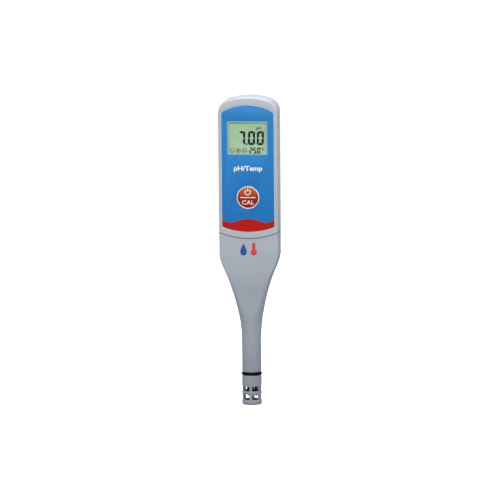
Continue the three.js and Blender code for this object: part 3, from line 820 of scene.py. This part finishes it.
# the digits' places: x is from the face's centre line
digits("digits_main", [("7", -6.2, 168.95), ("0", 0.1, 168.95), ("0", 5.78, 168.95)], 8.8, 4.45, 1.42, 0.035, M_SEG, soft=0.42)
pt = flat("digits_point", [circle(-0.82, 169.45, 0.55, 20)], Y_LCD - 0.035, Y_LCD - 0.005)
place(pt, "meter_body", M_SEG, smooth=0)
digits("digits_temp", [("2", 0.85, 163.35), ("5", 3.3, 163.35), ("0", 5.9, 163.35)], 4.0, 2.1, 0.80, 0.05, M_SEG, soft=0.2)
pt = flat("digits_temp_point", [circle(5.6, 163.65, 0.24, 12)], Y_LCD - 0.035, Y_LCD - 0.005)
place(pt, "meter_body", M_SMALL, smooth=0)
unit = text("unit_ph", "pH", 6.9, 178.95, 2.6, Y_LCD - 0.035, Y_LCD - 0.005, 0.05)
place(unit, "meter_body", M_SMALL, smooth=0)
deg = flat("unit_degree", [circle(8.75, 167.0, 0.42, 20), circle(8.75, 167.0, 0.22, 20)], Y_LCD - 0.035, Y_LCD - 0.005)
place(deg, "meter_body", M_SMALL, smooth=0)
unit = text("unit_celsius", "C", 9.95, 165.4, 2.4, Y_LCD - 0.035, Y_LCD - 0.005, 0.04)
place(unit, "meter_body", M_SMALL, smooth=0)
marks = []
for ch, x in (("L", -10.2), ("M", -6.15), ("H", -2.1)):
    marks.append(flat("mark_r" + ch, [circle(x, 165.4, 1.56, 40), circle(x, 165.4, 1.26, 40)], Y_LCD - 0.035, Y_LCD - 0.005))
    marks.append(text("mark_t" + ch, ch, x, 164.68, 2.0, Y_LCD - 0.035, Y_LCD - 0.005, 0.05))
place(join("display_marks", marks), "meter_body", M_DIM, smooth=0)

# printed name of the two quantities
legend = text("legend_ph_temp", "pH/Temp", 0.15, 152.55, 4.25, Y_LABEL - 0.04, Y_LABEL + 0.02, 0.11, width=18.2)
place(legend, "meter_body", M_INK, smooth=0)

# ------------------------------------------------------------------
# button and ring
# ------------------------------------------------------------------
ring_profile = [(6.64, -11.66), (6.64, -12.18), (6.70, -12.30), (6.80, -12.38), (6.95, -12.42), (7.10, -12.38), (7.20, -12.29), (7.26, -12.15), (7.26, -11.66)]
ring = lathe("button_bezel", ring_profile, 128, "Y", (0, DY, BTN_Z), closed=True)
place(ring, "meter_body", M_WHITE, ["button_ring"])


def dome(r):
    """The button face's own y at radius r: a shallow dome."""
    R = 118.0
    return -12.59 + (R - math.sqrt(R * R - r * r))


prof = [(0.0, dome(0.0))]
prof += [(r, dome(r)) for r in (0.8, 1.6, 2.4, 3.2, 4.0, 4.7, 5.3, 5.8, 6.1)]
prof += [(6.1 + 0.4 * math.sin(rad(a)), dome(6.1) + 0.4 * (1 - math.cos(rad(a)))) for a in (15, 30, 45, 60, 75, 90)]
prof += [(6.5, -11.2), (6.5, -10.25), (7.5, -10.25), (7.5, -9.65), (0.0, -9.65)]
cap = lathe("button_face", prof, 128, "Y", (0, DY, BTN_Z))
# painted light: the red runs from dark at the bottom to light orange at the top, a painted highlight for the light from
# above on the domed key
k = Nodes("button_red")
f = k.maprange(k.xyz()[2], (BTN_Z - 6.5) * MM, (BTN_Z + 6.5) * MM, 0.0, 1.0)
col = k.ramp(f, [(0.0, srgb("#8a0a0c")), (0.3, srgb("#88100d")), (0.52, srgb("#931911")), (0.62, srgb("#a9381f")), (1.0, srgb("#bd6a42"))])
k.link(col, k.b.inputs["Base Color"])
k.link(k.maprange(k.noise(300.0, 3.0), 0.3, 0.7, 0.24, 0.34), k.b.inputs["Roughness"])
k.b.inputs["Coat Weight"].default_value = 0.35
k.b.inputs["Coat Roughness"].default_value = 0.1
k.bump(k.noise(8000.0, 2.0), 0.2, 1e-5)
place(cap, "button", k.m, ["button_cap"])


def on_dome(ob, lift=0.03):
    """Lays flat lettering on the button's dome."""
    for v in ob.data.vertices:
        x, z = v.co.x / MM, v.co.z / MM - BTN_Z
        front_side = v.co.y < ob["mid"]
        v.co.y = (dome(math.hypot(x, z)) + DY - (lift if front_side else -0.05)) * MM
    return ob


def dome_plate(name, loops):
    ob = flat(name, loops, -13.0, -12.9)
    ob["mid"] = -12.95 * MM
    m = ob.modifiers.new("s", "SUBSURF")
    m.subdivision_type, m.levels, m.render_levels = "SIMPLE", 1, 1
    mid = ob["mid"]
    bake(ob)
    ob["mid"] = mid
    return on_dome(ob)


def arc_band(cx, cz, r0, r1, a0, a1, n=40):
    out = [(cx + r1 * math.cos(rad(a0 + (a1 - a0) * i / n)), cz + r1 * math.sin(rad(a0 + (a1 - a0) * i / n))) for i in range(n + 1)]
    out += [(cx + r0 * math.cos(rad(a1 + (a0 - a1) * i / n)), cz + r0 * math.sin(rad(a1 + (a0 - a1) * i / n))) for i in range(n + 1)]
    return out


PZ = BTN_Z + 3.55
icon = [dome_plate("p1", [arc_band(-0.15, PZ, 1.38, 2.06, 128, 412)]),
        dome_plate("p2", [rounded_rect(-0.15 - 0.36, -0.15 + 0.36, PZ + 0.35, PZ + 2.35, 0.3, 5)]),
        dome_plate("p3", [rounded_rect(-4.95, 4.95, BTN_Z - 0.25, BTN_Z + 0.45, 0.2, 5)])]
t = text("p4", "CAL", 0.0, BTN_Z - 4.35, 3.75, -13.0, -12.9, 0.10, width=7.9)
t["mid"] = -12.95 * MM
icon.append(on_dome(t))
icon = join("button_print", icon)
# painted light: the ink is lighter and warmer towards the top, like the key beneath it
k = Nodes("button_print_ink")
f = k.maprange(k.xyz()[2], (BTN_Z - 5) * MM, (BTN_Z + 6) * MM, 0.0, 1.0)
k.link(k.ramp(f, [(0.0, srgb("#f3cfc6")), (0.5, srgb("#ffd9c8")), (1.0, srgb("#ffdcae"))]), k.b.inputs["Base Color"])
k.link(k.maprange(k.noise(900.0, 2.0), 0.3, 0.7, 0.3, 0.42), k.b.inputs["Roughness"])
place(icon, "button", k.m, smooth=0)

# ------------------------------------------------------------------
# electrode housing
# ------------------------------------------------------------------
TAPER = [
    (118, 18.95, 12.0, 1.2, 8.0), (98.5, 18.95, 12.0, 1.2, 8.0), (95.8, 18.6, 11.95, 1.2, 8.0), (93, 17.8, 11.85, 1.25, 8.0),
    (90, 16.7, 11.7, 1.35, 8.0), (87, 15.45, 11.45, 1.5, 8.0), (84, 14.2, 11.1, 1.65, 8.0), (80.5, 12.98, 10.6, 1.9, 7.9),
    (77, 11.9, 10.0, 2.2, 7.8), (73.5, 10.9, 9.35, 2.6, 7.6), (70, 9.98, 8.75, 3.0, 7.3), (66, 9.08, 8.15, 3.6, 7.0),
    (62, 8.27, 7.6, 4.3, 6.7), (58, 7.57, 7.15, 5.15, 6.55), (54, 7.03, 6.75, 5.9, 6.45), (50, 6.62, 6.48, 6.27, 6.33),
    (46, 6.31, 6.26, 6.2, 6.22), (42, 6.15, 6.15, 6.11, 6.11), (30, 6.15, 6.15, 6.11, 6.11)]
TAPER = sorted(TAPER)


def taper_at(z):
    """Monotone cubic through the table."""
    zs = [r[0] for r in TAPER]
    if z <= zs[0]:
        return TAPER[0][1:]
    if z >= zs[-1]:
        return TAPER[-1][1:]
    i = max(j for j in range(len(zs) - 1) if zs[j] <= z)
    out = []
    for c in range(1, 5):
        v = [r[c] for r in TAPER]

        def slope(j):
            if j <= 0 or j >= len(zs) - 1:
                return 0.0
            a = (v[j] - v[j - 1]) / (zs[j] - zs[j - 1])
            b = (v[j + 1] - v[j]) / (zs[j + 1] - zs[j])
            return 0.0 if a * b <= 0 else 2 * a * b / (a + b)

        h = zs[i + 1] - zs[i]
        t = (z - zs[i]) / h
        out.append((2 * t ** 3 - 3 * t * t + 1) * v[i] + (t ** 3 - 2 * t * t + t) * h * slope(i)
                   + (-2 * t ** 3 + 3 * t * t) * v[i + 1] + (t ** 3 - t * t) * h * slope(i + 1))
    return tuple(out)


def section(z, a, f, b, rf, rb, n=12):
    pts = []
    for cx, cy, r, s in ((a - rf, -f + rf, rf, -90), (a - rb, b - rb, rb, 0), (-a + rb, b - rb, rb, 90), (-a + rf, -f + rf, rf, 180)):
        for i in range(n + 1):
            t = rad(s + 90 * i / n)
            pts.append((cx + r * math.cos(t), cy + r * math.sin(t), z))
    return pts


def taper_ring(z, w, floor=BORE_R, at=None):
    a, t, rf, rb = taper_at(at if at is not None else z)
    kk = DY * min(1.0, max(0.0, ((at if at is not None else z) - 42) / 50))
    ai, ti = max(a - w, floor), max(t - w, floor)
    lim = min(ai, ti) - 0.02
    return section(z, ai, ti - kk, ti + kk, min(lim, max(rf - w, 0.5 if w else rf)), min(lim, max(rb - w, 0.5 if w else rb)))


def round_ring(z, r):
    return section(z, r, r, r, r - 0.02, r - 0.02)


levels = [42 + 56.5 * i / 70 for i in range(71)] + [104, 110, 118]
groove = [(NOSE_Z, NOSE_R - 0.25), (NOSE_Z + 0.25, NOSE_R), (SHOULDER_Z - 0.15, NOSE_R), (SHOULDER_Z, NOSE_R + 0.1), (SHOULDER_Z + 0.02, 5.6),
          (SHOULDER_Z + 0.12, 5.87), (SHOULDER_Z + 0.36, 6.08), (SHOULDER_Z + 0.62, 6.14), (SHOULDER_Z + 1.1, BARREL_R),
          (23.3, BARREL_R), (23.42, 6.22), (23.7, 6.22), (23.82, BARREL_R), (26.5, BARREL_R), (34, BARREL_R)]
lower = loft("probe_housing", [round_ring(z, r) for z, r in groove] + [taper_ring(z, 0) for z in levels])
hollow = loft("c", [round_ring(z, BORE_R) for z in (NOSE_Z - 1, 30)] + [taper_ring(z, WALL) for z in levels[::2] + [119.0]])
boolean(lower, [hollow])
seam_low = disc_y("c", SEAM_R + SEAM_GAP)
boolean(lower, [seam_low])
spig = loft("c", [taper_ring(z, w, at=110) for z, w in ((100.5, WALL - 0.3), (106.6, WALL - 0.3), (107.6, WALL + 0.35), (117.3, WALL + 0.35))])
boolean(spig, [loft("c2", [taper_ring(z, WALL + 1.6, at=110) for z in (99, 118)])])
boolean(lower, [spig], "UNION")
for s in (-1, 1):
    a, b = sorted((s * 4.3, s * 8.9))
    boolean(lower, [boxy("c", a, b, -2.0 + DY, 2.0 + DY, 106, 122.6)], "UNION")
    a, b = sorted((s * 8.0, s * 15.6))
    boolean(lower, [boxy("c", a, b, -2.0 + DY, 2.0 + DY, 106, 116)], "UNION")
bevel(lower, 0.12, 2)
place(lower, "meter_body", M_LOWER, ["electrode_housing"])

seal = loft("seam_gasket", [taper_ring(z, 0.32, at=110) for z in (104, 117)])
boolean(seal, [loft("c", [taper_ring(z, 1.75, at=110) for z in (103, 118)])])
boolean(seal, [disc_y("c", SEAM_R + SEAM_GAP - 0.08)], "INTERSECT")
boolean(seal, [disc_y("c", SEAM_R + 0.08)])
bevel(seal, 0.08, 2)
place(seal, "meter_body", M_SEAM, ["body_seal"])

# generic marks on the lower housing: a drop and a thermometer
def drop_loop(cx, cz, w, h, n=56):
    out = []
    for i in range(n):
        t = 2 * math.pi * i / n
        out.append((cx + w * math.sin(t) * abs(math.sin(t / 2)) ** 1.5, cz + h * math.cos(t)))
    return out


def thermo_loop(cx, z0, z1, r_bulb, r_stem):
    zc = z0 + r_bulb
    a0 = math.degrees(math.acos(r_stem / r_bulb))
    out = [(cx + r_bulb * math.cos(rad(a)), zc + r_bulb * math.sin(rad(a))) for a in
           [180 - a0 + (180 + 2 * a0) * i / 30 for i in range(31)]]
    out += [(cx + r_stem * math.cos(rad(a)), z1 - r_stem + r_stem * math.sin(rad(a))) for a in range(0, 181, 20)]
    return out


Y_MARK = -HALF_T + DY
mark = flat("drop_mark", [drop_loop(-3.2, 101.9, 3.0, 4.0)], Y_MARK - 0.04, Y_MARK + 0.02)
place(mark, "meter_body", plastic("mark_blue", srgb("#2a52a4"), 0.35, 0.03), smooth=0)
mark = flat("thermometer_mark", [thermo_loop(3.4, 97.9, 106.2, 2.0, 1.05)], Y_MARK - 0.04, Y_MARK + 0.02)
place(mark, "meter_body", plastic("mark_red", srgb("#cf4a45"), 0.35, 0.03), smooth=0)

# ------------------------------------------------------------------
# O-ring
# ------------------------------------------------------------------
prof = [(5.84 + 0.96 * math.cos(rad(a)), 20.02 + 0.68 * math.sin(rad(a))) for a in range(0, 360, 12)]
oring = lathe("sealing_ring", prof, 96, "Z", closed=True)
place(oring, "meter_body", M_RUBBER, ["probe_o_ring"])

# ------------------------------------------------------------------
# electrode guard: slotted sleeve with two rows of arched windows
# ------------------------------------------------------------------
prof = [(5.0, 0.6), (5.05, 0.3), (5.2, 0.08), (5.4, 0.0), (5.72, 0.02), (5.98, 0.15), (6.17, 0.4), (6.29, 0.8), (6.35, 1.4), (6.35, 2.55), (6.31, 2.8), (6.23, 2.95),
        (6.21, 6.8), (6.21, 6.9), (6.3, 7.1), (6.31, 8.4), (6.22, 8.6), (6.21, 8.8), (6.21, 12.2), (6.23, 12.45), (6.29, 12.8), (6.3, 18.3), (6.25, 18.65), (6.1, 18.98),
        (5.87, 19.15), (5.15, 19.15), (5.0, 19.05)]
guard = lathe("probe_guard", prof, 144, "Z", closed=True)


def window(angle, z0, z1, half, arch):
    """A slot through the sleeve, centred at an angle from the front, with a rounded sill and an arched head."""
    cols = 10
    pts = []
    r = 0.5
    for i in range(cols + 1):
        x = half * (1 - 2 * i / cols)
        pts.append((x, z1 - arch * (x / half) ** 2))
    pts += [(-half, z0 + r), (-half + r * 0.3, z0 + r * 0.3), (-half + r, z0), (half - r, z0), (half - r * 0.3, z0 + r * 0.3), (half, z0 + r)]
    ob = prism("c", pts, -9.0, -3.0)
    ob.data.transform(Matrix.Rotation(rad(angle), 4, "Z"))
    return ob


for i in range(6):
    a = 30 + 60 * i
    boolean(guard, [window(a, 3.0, 6.85, 2.35, 0.35), window(a, 8.7, 12.1, 2.35, 0.65)])
bevel(guard, 0.14, 3, 40)
place(guard, "meter_body", M_GUARD, ["electrode_guard"])

# raised rims over the upper windows
rims = []
for i in range(6):
    a0 = 30 + 60 * i
    verts, faces = [], []
    m, q = 24, 8
    for j in range(m + 1):
        u = -1 + 2 * j / m
        ang = rad(-90 + a0) + u * 0.44
        zc = 12.6 - 0.60 * u * u
        for s in range(q):
            ph = 2 * math.pi * s / q
            rr = 6.24 + 0.14 * math.cos(ph)
            verts.append((rr * math.cos(ang), rr * math.sin(ang), zc + 0.20 * math.sin(ph)))
    for j in range(m):
        for s in range(q):
            t = (s + 1) % q
            faces.append((j * q + s, j * q + t, (j + 1) * q + t, (j + 1) * q + s))
    faces += [tuple(range(q)), tuple(m * q + s for s in range(q))[::-1]]
    rims.append(mesh_object("rim", verts, faces))
place(join("guard_rims", rims), "meter_body", M_GUARD)

# ------------------------------------------------------------------
# electrode: glass, wire, sensor, plugs
# ------------------------------------------------------------------
prof = [(0.0, 5.0)]
prof += [(2.7 * math.cos(rad(a)), 7.7 + 2.7 * math.sin(rad(a))) for a in range(-84, 31, 6)]
prof += [(2.24, 9.3), (2.2, 9.7), (2.2, 10.75), (1.78, 10.75), (1.78, 9.8), (1.9, 9.35)]
prof += [(2.38 * math.cos(rad(a)), 7.7 + 2.38 * math.sin(rad(a))) for a in range(30, -85, -6)]
prof += [(0.0, 5.32)]
bulb = lathe("sensing_bulb", prof, 64, "Z", (STEM_X, 0, 0))
place(bulb, "meter_body", M_BULB, ["glass_bulb"])
stem = lathe("stem_tube", [(1.7, 11.0), (1.75, 10.9), (2.15, 10.9), (2.2, 11.0), (2.2, 77.9), (2.15, 78), (1.75, 78), (1.7, 77.9)], 48, "Z", (STEM_X, 0, 0), closed=True)
place(stem, "meter_body", M_GLASS, ["glass_stem"])
sensor = lathe("sensor_tube", [(0, 5.1)] + [(1.1 * math.sin(rad(a)), 6.2 - 1.1 * math.cos(rad(a))) for a in range(15, 91, 15)] + [(1.1, 12.5), (1.02, 12.75), (0.8, 12.95), (0.8, 51.8), (0.7, 52), (0, 52)],
               40, "Z", (SENSOR_X, 0, 0))
place(sensor, "meter_body", M_PROBE, ["temperature_sensor"])

# ------------------------------------------------------------------
# screws
# ------------------------------------------------------------------
for i, (x, z) in enumerate(SCREWS):
    s = lathe(f"case_screw_{i + 1}", [(0, 11.2), (0.9, 11.16), (1.5, 11.02), (1.85, 10.75), (1.95, 10.4), (1.95, 9.8), (0.95, 9.75), (0.95, -4.6), (0.4, -5.2), (0, -5.2)],
              48, "Y", (x, DY, z))
    a = boxy("c", x - 1.25, x + 1.25, 10.35 + DY, 12 + DY, z - 0.24, z + 0.24)
    b = boxy("c2", x - 0.24, x + 0.24, 10.35 + DY, 12 + DY, z - 1.25, z + 1.25)
    boolean(s, [a, b])
    bevel(s, 0.05, 2)
    place(s, "meter_body", M_STEEL, [f"housing_screw_{i + 1}"])
lock = lathe("coin_screw", [(0, 12.0), (2.3, 12.0), (2.5, 11.94), (2.65, 11.8), (2.7, 11.6), (2.7, 11.08), (1.0, 11.08), (1.0, 4.4), (0.5, 4.0), (0, 4.0)], 72, "Y", (0, DY, LOCK_Z))
slot_cut = prism("c", rounded_rect(-2.2, 2.2, LOCK_Z - 0.42, LOCK_Z + 0.42, 0.3, 5), 11.35 + DY, 13 + DY)
boolean(lock, [slot_cut])
bevel(lock, 0.06, 2)
place(lock, "lock_screw", M_STEEL, ["door_screw"])

# ------------------------------------------------------------------
# inner pieces that keep their CAD shape
# ------------------------------------------------------------------
k = Nodes("board_mask")
mp = k.new("ShaderNodeMapping")
mp.inputs["Scale"].default_value = (1, 1, 1)
k.link(k.co, mp.inputs[0])
x, y, z = k.xyz()
tr = k.math("LESS_THAN", k.math("PINGPONG", k.math("ADD", x, k.math("MULTIPLY", k.noise(70.0, 1.0), 0.004)), 0.0011), 0.00035)
col = k.mix(tr, srgb("#17633a"), srgb("#2f8a55"))
k.link(col, k.b.inputs["Base Color"])
k.b.inputs["Roughness"].default_value = 0.35
k.bump(tr, 0.3, 3e-5)
M_BOARD = k.m


def cell_material(name, z_plus_up):
    k = Nodes(name)
    z = k.xyz()[2]
    lo, hi = (130.58, 175.08) if not z_plus_up else (134.05, 178.55)
    f = k.maprange(z, lo * MM, hi * MM, 0.0, 1.0)
    if z_plus_up:
        stops = [(0.0, srgb("#c8cace")), (0.03, srgb("#1f2a38")), (0.72, srgb("#24303f")), (0.73, srgb("#b5803a")), (0.955, srgb("#bb8741")), (0.965, srgb("#c8cace"))]
    else:
        stops = [(0.035, srgb("#c8cace")), (0.045, srgb("#bb8741")), (0.27, srgb("#b5803a")), (0.28, srgb("#24303f")), (0.97, srgb("#1f2a38")), (1.0, srgb("#c8cace"))]
    k.link(k.ramp(f, stops), k.b.inputs["Base Color"])
    k.link(k.maprange(k.noise(600.0, 3.0), 0.3, 0.7, 0.2, 0.34), k.b.inputs["Roughness"])
    k.b.inputs["Metallic"].default_value = 0.35
    return k.m


CARRY = {
    "lcd_frame": (M_TRAY, 0.2), "zebra_strip_lower": (M_RUBBER, 0.15), "zebra_strip_upper": (M_RUBBER, 0.15),
    "main_board": (M_BOARD, 0.12), "controller_chip": (M_CHIP, 0.15), "amplifier_chip": (M_CHIP, 0.12),
    "electrode_connector": (M_NYLON, 0.2), "switch_body": (M_CHIP, 0.15), "switch_plunger": (M_NYLON, 0.15),
    "battery_tray": (M_TRAY, 0.2), "battery_left": (cell_material("cell_up", True), 0.2), "battery_right": (cell_material("cell_down", False), 0.2),
    "battery_spring_left": (M_SPRING, 0), "battery_spring_right": (M_SPRING, 0), "contact_bridge": (M_SPRING, 0.08),
    "contact_positive": (M_SPRING, 0.08), "contact_negative": (M_SPRING, 0.08), "door_seal": (M_RUBBER, 0.12),
    "silver_electrode": (M_SILVER, 0), "reference_junction": (M_CERAMIC, 0.06), "lower_potting_plug": (M_POT, 0.12),
    "upper_potting_plug": (M_POT, 0.12), "electrode_lead": (M_LEAD, 0), "sensor_lead": (M_LEAD, 0),
}
for name, (mat, w) in CARRY.items():
    ob = NODES[name]
    ob.data.materials.clear()
    ob.data.materials.append(mat)
    if w:
        bevel(ob, w, 2)
        ob.modifiers["edges"].harden_normals = False
    for p in ob.data.polygons:
        p.use_smooth = True
    ob.data.set_sharp_from_angle(angle=rad(40))

# ------------------------------------------------------------------
# floor, world, lights, camera
# ------------------------------------------------------------------
me = bpy.data.meshes.new("floor")
S = 6.0
me.from_pydata([(-S, -S, 0), (S, -S, 0), (S, S, 0), (-S, S, 0)], [], [(0, 1, 2, 3)])
floor = link(bpy.data.objects.new("floor", me))
k = Nodes("floor_paper")
paper = k.ramp(k.noise(8.0, 2.0), [(0.3, (0.90, 0.90, 0.90, 1)), (0.7, (0.92, 0.92, 0.92, 1))])
k.link(paper, k.b.inputs["Base Color"])
k.b.inputs["Roughness"].default_value = 0.9
k.b.inputs["Specular IOR Level"].default_value = 0.1
k.b.inputs["Emission Color"].default_value = (1, 1, 1, 1)
k.b.inputs["Emission Strength"].default_value = 0.5
dim = k.new("ShaderNodeBsdfDiffuse")
dim.inputs["Color"].default_value = (0.26, 0.26, 0.27, 1)
ms = k.new("ShaderNodeMixShader")
k.link(k.new("ShaderNodeLightPath").outputs["Is Camera Ray"], ms.inputs[0])
k.link(dim.outputs[0], ms.inputs[1])
k.link(k.b.outputs[0], ms.inputs[2])
k.link(ms.outputs[0], k.out.inputs[0])
floor.data.materials.append(k.m)

world = bpy.data.worlds.new("studio")
bpy.context.scene.world = world
world.use_nodes = True
wt = world.node_tree
bg = wt.nodes["Background"]


def wmath(op, a, b=None, clamp=False):
    n = wt.nodes.new("ShaderNodeMath")
    n.operation, n.use_clamp = op, clamp
    for i, x in enumerate((a, b)):
        if x is None:
            continue
        if hasattr(x, "links"):
            wt.links.new(x, n.inputs[i])
        else:
            n.inputs[i].default_value = x
    return n.outputs[0]


# a soft tent: bright overhead and in front, darker to the two sides; the backdrop itself is plain white
sep = wt.nodes.new("ShaderNodeSeparateXYZ")
wt.links.new(wt.nodes.new("ShaderNodeTexCoord").outputs["Generated"], sep.inputs[0])
dx_, dy_, dz_ = sep.outputs
up = wmath("MULTIPLY", dz_, 1.0, True)
frontness = wmath("MULTIPLY", dy_, -1.0, True)
side = wmath("MULTIPLY", dx_, dx_)
tent = wmath("ADD", 0.28, wmath("MULTIPLY", up, 0.48))
tent = wmath("ADD", tent, wmath("MULTIPLY", frontness, 0.10))
tent = wmath("SUBTRACT", tent, wmath("MULTIPLY", side, 0.14))
lp = wt.nodes.new("ShaderNodeLightPath")
mixw = wt.nodes.new("ShaderNodeMix")
wt.links.new(lp.outputs["Is Camera Ray"], mixw.inputs[0])
wt.links.new(tent, mixw.inputs[2])
mixw.inputs[3].default_value = 1.05
bg.inputs[0].default_value = (1, 1, 1, 1)
wt.links.new(mixw.outputs[0], bg.inputs[1])


def area(name, loc, target, size, power, colour=(1, 1, 1), size_y=None):
    li = bpy.data.lights.new(name, "AREA")
    li.energy, li.size, li.color = power, size, colour
    if size_y:
        li.shape, li.size_y = "RECTANGLE", size_y
    ob = link(bpy.data.objects.new(name, li))
    ob.location = loc
    d = Vector(target) - Vector(loc)
    ob.rotation_mode = "QUATERNION"
    ob.rotation_quaternion = d.to_track_quat("-Z", "Y")
    ob.visible_camera = False
    return ob


area("key_front", (-0.02, -0.40, 0.55), (0, 0, 0.15), 0.90, 3.5, size_y=0.22)
side_light = area("right_fill", (0.30, -0.04, 0.23), (0.019, 0, 0.172), 0.12, 0.035)
side_light.data.spread = rad(60)
area("back_fill", (-0.05, 0.50, 0.75), (0, 0, 0.12), 0.35, 3.0)
area("back_low", (0.0, 0.80, 0.10), (0, 0, 0.10), 0.16, 0.30)

AZ, EL, ROLL = 7.2, 8.0, 0.5
DIST = 3.5
cam = bpy.data.cameras.new("camera")
cam.sensor_width = 36.0
cam.lens = 36.0 * DIST / 0.3205
camera = link(bpy.data.objects.new("camera", cam))
a, e = rad(AZ), rad(EL)
back = Vector((math.sin(a) * math.cos(e), -math.cos(a) * math.cos(e), math.sin(e)))
target = Vector((-0.0005, 0.0, 0.0998))
camera.rotation_mode = "QUATERNION"
q = (-back).to_track_quat("-Z", "Y")
camera.rotation_quaternion = q @ Matrix.Rotation(rad(-ROLL), 4, "Z").to_quaternion()
camera.location = target + back * DIST
cam.clip_start, cam.clip_end = 0.05, 50
bpy.context.scene.camera = camera

bpy.context.scene.view_settings.view_transform = "Standard"
bpy.context.scene.view_settings.look = "None"
